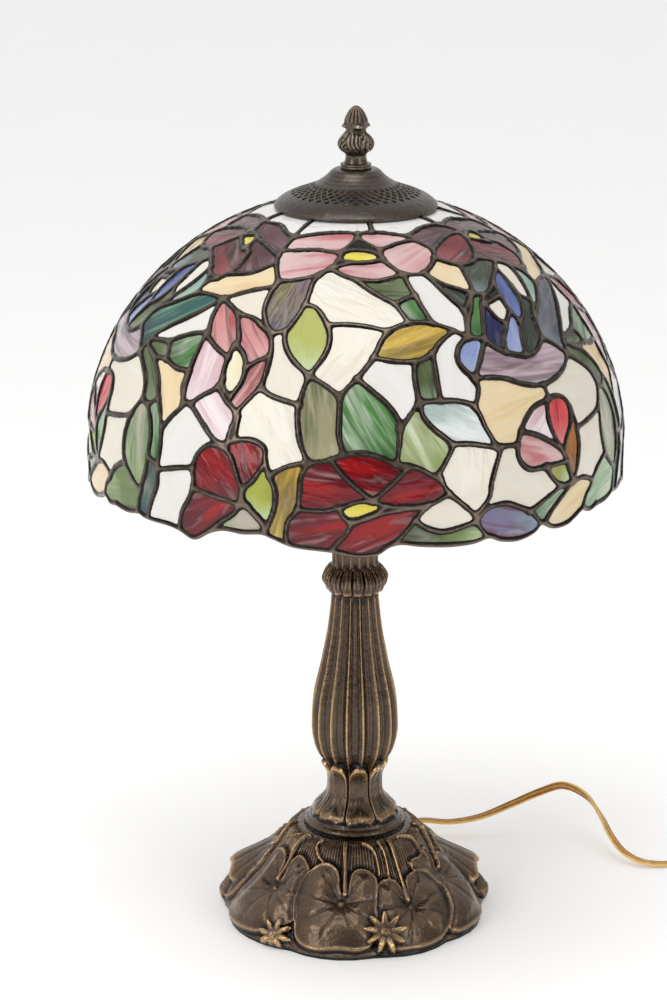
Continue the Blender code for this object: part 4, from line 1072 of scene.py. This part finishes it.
BELL = ((0.6, 77.6), (1.5, 78.2), (3.5, 77.6), (10.0, 72.5), (20.0, 65.0), (30.0, 56.5), (40.0, 47.8),
        (48.0, 42.0),
        (51.6, 39.0), (53.6, 36.2), (54.4, 33.0), (54.6, 30.2))
FOOT_BORE = ((53.8, 29.0), (51.5, 9.0), (47.5, 9.0), (46.0, 34.0), (38.0, 43.0), (26.0, 55.0), (14.0, 65.0),
             (0.6, 72.5))
FOOT_COLUMNS = 960
FOOT_PITCH = 0.66
# Lily pads: (outline in degrees and mm up the slope, middle of the pad)
FRONT_PADS = (
    (((-76, 6), (-79, 12), (-76, 26), (-74, 39), (-75, 50), (-69, 55), (-61, 54), (-56, 49), (-55.5, 42),
      (-53.2, 38),
      (-50.8, 41), (-51, 52), (-45, 57), (-37, 54), (-30, 46), (-29, 31), (-32, 18), (-46, 7.5),
      (-55, 5), (-68, 4)),
     (-51.5, 33.5)),
    (((44, 53), (54, 54), (63, 57), (67, 54), (66, 47), (63, 42), (68, 44), (76, 49), (84, 44), (88, 34),
      (87, 20),
      (82, 9), (74, 4.5), (60, 4.5), (49, 6), (45, 20), (43, 38)), (61.6, 36)),
    (((10, 24), (10.6, 31), (12.4, 39), (15.5, 45), (21.8, 47), (27, 44.5), (29.2, 39), (29.4, 33),
      (31.4, 32),
      (33.2, 42), (36, 45.8), (44, 47.3), (51.6, 43.5), (56.3, 34.5), (55.6, 24.7), (51, 14), (45, 6.5),
      (36, 4.6),
      (25, 4.6), (14, 7)), (30.8, 28)),
    (((-27, 8), (-29.5, 12), (-32, 21), (-34.2, 31), (-34.6, 42), (-32.7, 49), (-28, 54.4), (-20.5, 56.8),
      (-13.4, 54), (-10.4, 49), (-9.8, 42.7), (-7.6, 39.2), (-4.4, 39.4), (-3.7, 45.6), (-1.5, 52),
      (3.6, 54.2),
      (10.3, 52.6), (14.6, 47), (13, 38.9), (11.6, 30), (11.4, 22), (9, 10), (2, 6), (-7.2, 6.8),
      (-16.4, 5.2),
      (-22.3, 5.8)), (-7.7, 33.2)),
)
# Outline of a pad at the back: (share of its half width, mm up the slope). Back pads: (middle, half width)
BACK_PAD = ((-0.75, 7), (-0.88, 14), (-1.0, 28), (-1.05, 41), (-0.95, 50), (-0.5, 56), (-0.12, 51),
            (-0.06, 42),
            (0.06, 39), (0.2, 45), (0.3, 53), (0.6, 55), (0.95, 48), (1.02, 37), (0.95, 22), (0.8, 9),
            (0.4, 5),
            (-0.4, 5))
BACK_PADS = ((104, 17), (134, 21), (170, 22), (-153, 20), (-124, 18), (-98, 15))
BACK_PAD_MIDDLE = 33.0
# Stems: (points, half width, height)
STEMS = (
    (((-6, 39), (-7.5, 58), (-9, 70)), 1.5, 1.5),
    (((30.4, 32), (31, 42), (31.8, 55), (33, 70)), 1.3, 1.4),
    (((-53.2, 39), (-52.8, 49), (-54.5, 61), (-49.7, 70)), 1.3, 1.4),
    (((-31.7, 70), (-34, 65), (-29.5, 59.6), (-25, 57)), 0.9, 1.1),
    (((7.5, 70), (15, 65), (17, 57), (16.8, 50)), 0.9, 1.1),
    (((46, 70), (57.5, 66), (59, 57), (59.5, 50)), 0.9, 1.1),
    (((22, 70), (24, 60), (23, 47)), 0.8, 1.0),
    (((66, 42), (74, 52), (80, 62), (84, 70)), 1.3, 1.4),
    (((-88, 70), (-84, 60), (-86, 50)), 0.9, 1.1),
)
# Rows of beads, from the first bead to the last
BEADS = (((-58, 70), (-74, 62)), ((69, 70), (87, 62)), ((120, 70), (138, 60)), ((-118, 70), (-136, 60)))
BEADS_IN_ROW = 7
# Flowers: (centre, radius, number of petals)
WATER_LILIES = (((14.0, 15.2), 12.5, 9), ((-38.0, 7.5), 10.5, 8), ((150.0, 12.0), 12.0, 9),
                ((-138.0, 12.0), 12.0, 9))
BUDS = ((98.0, 9.0), (-98.0, 9.0))
BUD_RADIUS = 9.5
# Pads that stand off the bell at the sides: (middle, half width)
FLARED_PADS = ((104.0, 19.0), (-104.0, 19.0))
# Lobes of the foot's edge: (middle, half width)
PAD_LOBES = ((-10, 22), (28, 19), (63, 21), (101, 15), (131, 20), (170, 24), (-152, 18), (-122, 18),
             (-96, 14),
             (-56, 28))
LOBE_REACH = 4.2
LOBE_TOP_Z = 34
PLEATS = 150
PLEATED_V = (38, 44, 68, 72)
EDGE_V = 4.5
EDGE_DROP = 1.4
RING_V = (69, 73)

def foot_plan(a, z):
    """Sideways reach of the scalloped rim, fading up the slope."""
    lobe = np.zeros(np.broadcast(a, z).shape)
    for middle, half in PAD_LOBES:
        lobe = np.maximum(lobe, 1 - (wrap(a - middle) / half) ** 2)
    return (lobe - 0.55) * LOBE_REACH * np.clip(1 - z / LOBE_TOP_Z, 0, 1)

def add_pad(h, a, v, r, outline, boss):
    """A lily pad: a dish with a rolled rim, a boss and creases that run out from it."""
    away, inward = outline_depth(a, v, r, outline)
    rho, angle = polar(a, v, r, boss)
    dish = 1.0 + 2.8 * smoothstep(0, 13, away) - 1.9 * ridge(rho, 9)
    crease = np.abs(np.cos(angle * 4.5 + 0.4 * np.sin(3 * angle))) ** 18
    dish = dish - 0.45 * crease * band(rho, 1.5, 6, 14, 30)
    dish = dish + 1.5 * ridge(rho, 1.3) + 0.3 * smooth_noise(a * 0.35, v * 0.5, 9, 1.0)
    on = smoothstep(-0.7, 0.7, inward)
    return (h - 0.6 * ridge(inward + 1.6, 1.1)) * (1 - on) + dish * on + 0.75 * ridge(inward - 0.2, 0.8)

def add_flared_pad(h, a, v, middle, half):
    """A pad that turns up off the bell and ends in a free edge."""
    side = wrap(a - middle) / half
    reach = 0.5 + 0.5 * np.cos(np.pi * np.clip(side, -1, 1))
    top, bottom = 52 - 8 * side ** 2, 17 + 2 * np.cos(side * 5)
    slope = np.clip((top - v) / (top - bottom - 4), 0, 1)
    lifted = 0.6 + 9.9 * slope ** 1.15 * reach ** 0.45 - 0.5 * np.abs(np.cos(side * 9)) ** 8
    lifted = lifted + 0.6 * ridge(v - top + 1, 1.3) + 0.7 * ridge(v - bottom - 1.5, 1.3)
    window = smoothstep(0, 0.2, 1 - np.abs(side)) * smoothstep(-1, 2.2, v - bottom)
    window = window * smoothstep(-2, 1, top - v)
    return np.maximum(h, h * (1 - window) + lifted * window)

def water_lily(a, v, r, centre, radius, petals):
    """Height of a flower with pointed petals round a domed eye."""
    rho, angle = polar(a, v, r, centre)
    best = np.zeros(a.shape)
    for k in range(petals):
        turn = wrap((angle / RAD) - 360 * k / petals - 4) * RAD
        along, across = rho * np.cos(turn), rho * np.sin(turn)
        half = 2.2 * np.sin(np.pi * np.clip(along / radius, 0, 1)) ** 0.7 * (radius / 12)
        bulge = dome(across, half + 1e-6) * (along > 0) * (along < radius)
        lift = 1.6 + 1.5 * along / radius
        best = np.maximum(best, bulge * lift - 0.35 * ridge(across, 0.5) * (bulge > 0))
    return np.maximum(best, 2.9 * dome(rho, 3.2) - 0.9 * ridge(rho, 1.1))

def foot_height(a, v, z, r):
    a = wrap(a)
    pleat = np.cos(a * RAD * PLEATS) * band(v, *PLEATED_V)
    h = 0.40 * pleat - 0.6 + 0.25 * smooth_noise(a * 0.6, v * 0.5, 4, 1.0)
    for middle, half in BACK_PADS:
        outline = [(middle + u * half, y) for u, y in BACK_PAD]
        h = add_pad(h, a, v, r, outline, (middle, BACK_PAD_MIDDLE))
    for outline, boss in FRONT_PADS:
        h = add_pad(h, a, v, r, outline, boss)
    for points, width, lift in STEMS:
        away, _ = line_distance(a, v, r, catmull(points, 5))
        stem = h * 0.4 + (lift + 0.9) * dome(away, width)
        h = np.where(away < width, np.maximum(h, stem), h)
    for first, last in BEADS:
        for t in np.linspace(0, 1, BEADS_IN_ROW):
            centre = [start + t * (end - start) for start, end in zip(first, last)]
            h = h + 1.3 * ridge(polar(a, v, r, centre)[0], 0.85)
    for middle, half in FLARED_PADS:
        h = add_flared_pad(h, a, v, middle, half)
    for centre, radius, petals in WATER_LILIES:
        flower = water_lily(a, v, r, centre, radius, petals)
        h = np.where(flower > 0.05, np.maximum(h, 1.6) * 0.35 + 1.3 + flower, h)
    for middle, v0 in BUDS:
        bud = dome(np.hypot(wrap(a - middle) * r * RAD, (v - v0) * 0.8), BUD_RADIUS)
        hatch = np.cos((a * r * RAD + v) * 2.6) * np.cos((a * r * RAD - v) * 2.6)
        h = np.where(bud > 0, np.maximum(h, 0) * 0.4 + 4.0 * bud + 0.6 * hatch * bud, h)
    low = 1 - smoothstep(0, EDGE_V, v)
    return h * (1 - low) * (1 - smoothstep(*RING_V, v)) - EDGE_DROP * low

def make_foot():
    piece = cast_ring("foot", BELL, FOOT_BORE, FOOT_COLUMNS, FOOT_PITCH, foot_height, BRONZE, reach=4,
                      sharp=0.42, base=0.33, plan=foot_plan)
    place(piece, "base", "bronze", "base_casting")

# ---------------------------------------------------------------- finial and cap

FINIAL_PROFILE = (
    (449.9, 6.6), (451.0, 6.3), (453.0, 5.9), (455.0, 6.2), (456.7, 7.9), (457.8, 8.9), (459.0, 9.6),
    (460.5, 10.0),
    (462.3, 9.6), (463.4, 9.0), (464.5, 8.2), (465.7, 7.2), (467.0, 6.3), (468.5, 6.0), (470.0, 6.0),
    (471.3, 6.2),
    (472.4, 6.4), (473.5, 6.4), (475.7, 5.6), (478.0, 4.4), (480.2, 2.9), (481.6, 1.5), (482.0, 0.15),
)
FINIAL_BORE = ((457.0, 0.15), (456.9, 3.3), (450.0, 3.3))
BUD_RIBS = 7.5
BUD_Z = (472.2, 473.8, 479.5, 481.5)
BULB_Z = (455.8, 457.5, 466.5, 469)
LEAF_EYE_Z = 459.6
LEAF_TIP_Z = 470.9
PINCH_Z = 467.6
WASHER_PROFILE = ((447.05, 8.3), (447.3, 8.75), (447.9, 8.8), (448.2, 8.45), (448.6, 8.45), (448.9, 8.75),
                  (449.5, 8.65), (449.75, 8.2))
WASHER_BORE = ((449.7, 3.3), (447.1, 3.3))

def finial_height(a, v, z, r):
    ribs = np.abs(np.cos(a * RAD * BUD_RIBS)) ** 0.8
    h = band(z, *BUD_Z) * (0.8 * ribs - 0.5)
    # acanthus leaves: each quarter of the bulb curls round its own eye and trails off upwards
    quarter = (a + 34 + 45) % 90 - 45
    swirl = np.hypot(quarter * r * RAD * 0.8, z - LEAF_EYE_Z)
    trail = quarter * r * RAD + 0.35 * (z - 459)
    bent = smoothstep(-1.5, 4.0, trail)
    grooves = np.abs(np.cos((swirl * (1 - bent) + trail * bent) * 1.35))
    h = h + band(z, *BULB_Z) * (0.95 * grooves ** 0.7 - 0.6)
    tips = ((a + 35) % 90 - 45) * r * RAD
    curl = ridge(tips, 1.7) * ridge(z - LEAF_TIP_Z, 1.25)
    pinch = ridge(z - PINCH_Z, 1.5) * (0.5 + 0.5 * np.cos(tips * 0.66))
    return h + 2.2 * curl - 0.8 * pinch

def make_finial():
    piece = cast_ring("finial_bud", FINIAL_PROFILE, FINIAL_BORE, 240, 0.3, finial_height, AGED_BRASS,
                      reach=4, sharp=0.9, base=0.46)
    place(piece, "finial", "bronze", "finial")
    piece = cast_ring("finial_disc", WASHER_PROFILE, WASHER_BORE, 160, 0.2, lambda a, v, z, r: 0 * a,
                      AGED_BRASS, reach=2, base=0.5)
    place(piece, "finial_washer", "bronze", "finial_washer")

CAP_PROFILE = (
    (446.75, 3.7), (446.85, 7.0), (446.8, 11.2), (446.3, 12.8), (445.2, 14.2), (442.4, 17.0), (439.6, 20.9),
    (437.7, 24.4), (436.0, 28.6), (434.7, 32.2), (433.2, 36.2), (431.2, 40.6), (429.3, 43.4), (427.6, 45.2),
    (426.3, 45.9), (425.3, 45.6),
)
CAP_PITCH = 0.5
VENTS_ROUND = 40
VENT_FIRST_R = 21.5
VENT_LAST_R = 37.8
VENT_ROWS = 3.0
VENT_BAR = 0.14
VENT_MARGIN = 0.2
CAP_COLUMNS = 480
CAP_THICK = 0.9
CAP_STEPS_R = 22
CAP_LIP_R = 45.5

def make_cap():
    """The pierced cap: a sheet without the cells that lie between two sets of crossing bars."""
    r, z, nr, nz, arc = resample(CAP_PROFILE, CAP_PITCH)
    i, j = np.meshgrid(np.arange(CAP_COLUMNS), np.arange(len(r) - 1), indexing="ij")
    u = (i + 0.5) / CAP_COLUMNS * VENTS_ROUND
    middle_r = (r[:-1] + r[1:])[j] / 2
    w = (middle_r - VENT_FIRST_R) / (VENT_LAST_R - VENT_FIRST_R) * VENT_ROWS
    p, q = (u + w) % 1, (u - w) % 1
    hole = (np.minimum(p, 1 - p) > VENT_BAR) & (np.minimum(q, 1 - q) > VENT_BAR)
    row = (np.floor(u + w) - np.floor(u - w)) / 2
    hole &= (row > VENT_MARGIN) & (row < VENT_ROWS - VENT_MARGIN)

    def skin(depth):
        return lambda i, j: round_axis(r[j] + depth * nr[j], i * 360 / CAP_COLUMNS, z[j] + depth * nz[j])

    points, quads, i, j = grid_solid(i[~hole], j[~hole], skin(0.0), skin(CAP_THICK), CAP_COLUMNS)
    edge = np.clip(0.45 + 0.5 * np.cos(arc[j] * 2.2), 0, 1) * (r[j] < CAP_STEPS_R)
    relief = 0.34 + 0.25 * edge + 0.25 * ridge(r[j] - CAP_LIP_R, 0.6)
    piece = mesh_piece("cap", CAP_BRONZE, points, quads,
                       attributes={"relief": np.concatenate([relief, relief * 0])})
    place(piece, "shade", "dark_bronze", "heat_cap")

# ---------------------------------------------------------------- bulb

BULB_PROFILE = ((293.9, 13.3), (300, 15.2), (307.5, 17.6), (314, 20.2), (321, 23.1), (327.5, 25.8),
                (334, 28.2),
                (340, 29.6), (346, 30.0), (352, 29.5), (358, 27.9), (363, 25.4), (367.5, 22.3),
                (371.5, 18.2),
                (374.6, 13.4), (376.5, 8.0), (377.2, 3.5), (377.3, 0.15))
BULB_BORE = ((376.0, 0.15), (294.2, 0.15))

def make_bulb():
    piece = cast_ring("bulb_envelope", BULB_PROFILE, BULB_BORE, 128, 1.2,
                      lambda a, v, z, r: 0.02 * smooth_noise(a, z * 3, 5, 2.0), PORCELAIN)
    place(piece, "bulb", "bulb_glass", "bulb_globe")

# ---------------------------------------------------------------- cord

CORD_LOBE = 1.3
LOBE_OFFSET = 0.98
CONDUCTOR_RADIUS = 0.62
CORD_AZIMUTH = 72 * RAD
CORD_STEPS = 7
CORD_TWISTS = ((0.46, 0.84),)
SWITCH_MIDDLE = (245.0, 66.0)
SWITCH_Z = 8
SWITCH_HALF = 20
COIL_MIDDLE = (264.0, -21.0)
COIL_RADIUS = 70
COIL_SHRINK = 14
COIL_Z = 1.7
COIL_KNOTS = 12
STANDS_UP = 0.2

def lamp_side_path():
    """Middle line of the twin cord from the socket, down the rod, out of the foot and over to the switch."""
    path = [(0, 0, 245), (0, 0, 130), (0, 0, 60), (0, 0, 16)]
    path += [(math.cos(CORD_AZIMUTH) * d, math.sin(CORD_AZIMUTH) * d, z)
             for d, z in ((1.2, 8.2), (4.5, 6.4), (15, 6.2), (55, 7.8), (68, 8.5), (84, 8.5))]
    path += [(31, 97, 9), (43, 106, 9.5), (61, 105, 9), (80, 106, 12), (99, 111, 18), (118, 113, 26),
             (133, 114, 30), (147, 109, 25), (155, 94, 18), (160, 77, 12), (167, 64, 6.5), (178, 56, 3.2),
             (194, 56, 1.9), (204, 62, 3.4), (213, 66, 7.6), (SWITCH_MIDDLE[0] - SWITCH_HALF, 66, SWITCH_Z)]
    return catmull(path, CORD_STEPS)

def plug_side_path():
    """From the switch, once and a half round in a loose coil, and into the plug."""
    x, y = SWITCH_MIDDLE[0] + SWITCH_HALF, SWITCH_MIDDLE[1]
    path = [(x, y, SWITCH_Z), (x + 15, y, SWITCH_Z), (x + 24, y - 1.5, 3.2)]
    for turn in np.arange(2, 19) / COIL_KNOTS:
        radius, angle = COIL_RADIUS - COIL_SHRINK * turn, math.tau * (0.25 - turn)
        path.append((COIL_MIDDLE[0] + radius * math.cos(angle), COIL_MIDDLE[1] + radius * math.sin(angle),
                     COIL_Z))
    hook = ((-15, -39, 1.7), (-30, -28, 1.7), (-36, -13, 1.7), (-31, -2, 2.5), (-18, 1, 4.6), (-4, 0, 6))
    path += [(COIL_MIDDLE[0] + dx, COIL_MIDDLE[1] + dy, z) for dx, dy, z in hook]
    return catmull(path, CORD_STEPS)

def directions(path):
    """Unit vectors along the path."""
    ahead = np.gradient(path, axis=0)
    return ahead / np.linalg.norm(ahead, axis=1)[:, None]

def tube(path, offset, radius, sides, across):
    """A round tube beside a path, closed at both ends, as (points, quads, caps, attributes)."""
    up = np.cross(across, directions(path))
    turn = np.arange(sides) * math.tau / sides
    spokes = np.cos(turn)[:, None] * across[:, None] + np.sin(turn)[:, None] * up[:, None]
    rings = (path + across * offset)[:, None] + radius * spokes
    count = len(path)
    i, k = np.meshgrid(np.arange(count - 1), np.arange(sides), indexing="ij")
    k2 = (k + 1) % sides
    i, i2 = i * sides, (i + 1) * sides
    quads = np.stack([i2 + k, i2 + k2, i + k2, i + k], axis=-1).reshape(-1, 4)
    first = np.arange(sides)
    caps = (first[::-1], (count - 1) * sides + first)
    return rings.reshape(-1, 3), quads, caps, {"relief": np.tile(np.abs(np.cos(turn)), count)}

def sideways(path):
    """Unit vectors across the path that stay level where it lies down and turn little where it stands up."""
    across = np.zeros_like(path)
    last = np.array([math.sin(CORD_AZIMUTH), -math.cos(CORD_AZIMUTH), 0.0])
    for n, ahead in enumerate(directions(path)):
        level = np.cross(ahead, (0, 0, 1.0))
        weight = np.linalg.norm(level)
        wanted = last if weight < STANDS_UP else level / weight
        if wanted.dot(last) < 0:
            wanted = -wanted
        mixed = last * 0.5 + wanted * 0.5
        mixed -= mixed.dot(ahead) * ahead
        last = mixed / np.linalg.norm(mixed)
        across[n] = last
    return across

def twisted(path, across, twists):
    """The same directions, given half a turn about the path over each (start, end) share of its length."""
    share = np.linspace(0, 1, len(path))
    turn = sum((np.pi * smoothstep(start, end, share) for start, end in twists), np.zeros(len(path)))
    return across * np.cos(turn)[:, None] + np.cross(directions(path), across) * np.sin(turn)[:, None]

def make_cord():
    runs = (("cord_a", lamp_side_path(), "cord_lamp_side", CORD_TWISTS),
            ("cord_b", plug_side_path(), "cord_plug_side", ()))
    parts = (("jacket", CORD_LOBE, 16, CORD_JACKET), ("wires", CONDUCTOR_RADIUS, 8, COPPER))
    for name, path, node, twists in runs:
        across = twisted(path, sideways(path), twists)
        for part, radius, sides, look in parts:
            lobes = [tube(path, side * CORD_LOBE * LOBE_OFFSET, radius, sides, across) for side in (-1, 1)]
            piece = mesh_piece(f"{name}_{part}", look, *join_parts(lobes))
            place(piece, "base", "cord", *((node,) if part == "jacket" else ()))

# ---------------------------------------------------------------- floor, light and camera

FLOOR_REACH = 15000
FLOOR_GLOW = 0.2
ROOM_BRIGHT_SIDE = (-0.28, 0.42, 0.86)
ROOM_STRENGTH = 0.8
CAMERA_LENS = 110.4
CAMERA_PLACE = (-0.0125, -1.6881, 0.7686)
CAMERA_TILT = 73.03 * RAD
# Lights: (name, place, aimed at, size, power)
LIGHTS = (
    ("key", (-1.5, -1.5, 1.1), (0, 0, 0.3), (0.9, 1.3), 11),
    ("top", (-0.2, -0.5, 1.9), (0, 0, 0.3), (1.3, 0.9), 10),
    ("fill", (1.5, -1.5, 0.7), (0, 0, 0.25), (0.7, 1.3), 7),
)

def make_stage():
    """A white floor that reaches past every view; it lets light and sight through from below."""
    s = Shader("floor")
    speck = s.noise(s.place(), 14, 2)
    s.feed(Base_Color=s.mix(speck, paint(250, 249, 248), paint(246, 245, 244)), Roughness=0.6,
           Emission_Color=paint(250, 250, 250), Emission_Strength=FLOOR_GLOW)
    facing = s.node("ShaderNodeNewGeometry").outputs["Backfacing"]
    clear = s.node("ShaderNodeBsdfTransparent").outputs[0]
    either = s.node("ShaderNodeMixShader", [(0, facing), (1, s.bsdf.outputs[0]), (2, clear)])
    s.tree.links.new(either.outputs[0], s.tree.nodes["Material Output"].inputs["Surface"])
    corners = np.array([(-1, -1, 0), (1, -1, 0), (1, 1, 0), (-1, 1, 0)])
    mesh_piece("floor", s.material, corners * FLOOR_REACH, [(0, 1, 2, 3)])

def soft_light(name, where, target, size, power):
    data = bpy.data.lights.new(name, "AREA")
    data.shape = "RECTANGLE"
    data.size, data.size_y = size
    data.energy = power
    lamp = bpy.data.objects.new(name, data)
    lamp.location = where
    lamp.visible_camera = False
    lamp.rotation_euler = (Vector(target) - Vector(where)).to_track_quat("-Z", "Y").to_euler()
    bpy.context.scene.collection.objects.link(lamp)

def make_world():
    """A pale room, bright overhead, behind and at the left, and dimmer round the camera, so gloss shows."""
    world = bpy.data.worlds.new("studio")
    world.use_nodes = True
    tree = world.node_tree
    place = tree.nodes.new("ShaderNodeTexCoord")
    turned = tree.nodes.new("ShaderNodeVectorMath")
    turned.operation = "DOT_PRODUCT"
    turned.inputs[1].default_value = ROOM_BRIGHT_SIDE
    half = tree.nodes.new("ShaderNodeMath")
    half.operation = "MULTIPLY_ADD"
    half.inputs[1].default_value = 0.5
    half.inputs[2].default_value = 0.5
    ramp = tree.nodes.new("ShaderNodeValToRGB")
    stops = ((0.30, (0.16, 0.16, 0.165, 1)), (0.80, (1.0, 1.0, 1.0, 1)))
    for element, (position, colour) in zip(ramp.color_ramp.elements, stops):
        element.position = position
        element.color = colour
    tree.links.new(place.outputs["Generated"], turned.inputs[0])
    tree.links.new(turned.outputs["Value"], half.inputs[0])
    tree.links.new(half.outputs[0], ramp.inputs[0])
    tree.links.new(ramp.outputs[0], tree.nodes["Background"].inputs[0])
    tree.nodes["Background"].inputs[1].default_value = ROOM_STRENGTH
    bpy.context.scene.world = world

def make_view():
    for light in LIGHTS:
        soft_light(*light)
    make_world()
    camera = bpy.data.cameras.new("camera")
    camera.lens = CAMERA_LENS
    camera.sensor_width = 36
    view = bpy.data.objects.new("camera", camera)
    view.location = CAMERA_PLACE
    view.rotation_euler = (CAMERA_TILT, 0, 0)
    bpy.context.scene.collection.objects.link(view)
    bpy.context.scene.camera = view
    bpy.context.scene.view_settings.view_transform = "Standard"

def dress_cad():
    """Materials for the CAD parts that are shown as they are."""
    looks = {"brass": BRASS, "steel": STEEL, "cast_iron": IRON, "phenolic": PHENOLIC, "felt": FELT,
             "fibre": FIBRE, "switch_plastic": SWITCH_PLASTIC}
    for name, node in frame["nodes"].items():
        if node.hide_render:
            continue
        slot = SLOT_OF_NODE[name]
        node.data.materials.clear()
        node.data.materials.append(looks[slot])

make_shade()
make_column()
make_foot()
make_finial()
make_cap()
make_bulb()
make_cord()
dress_cad()
make_stage()
make_view()
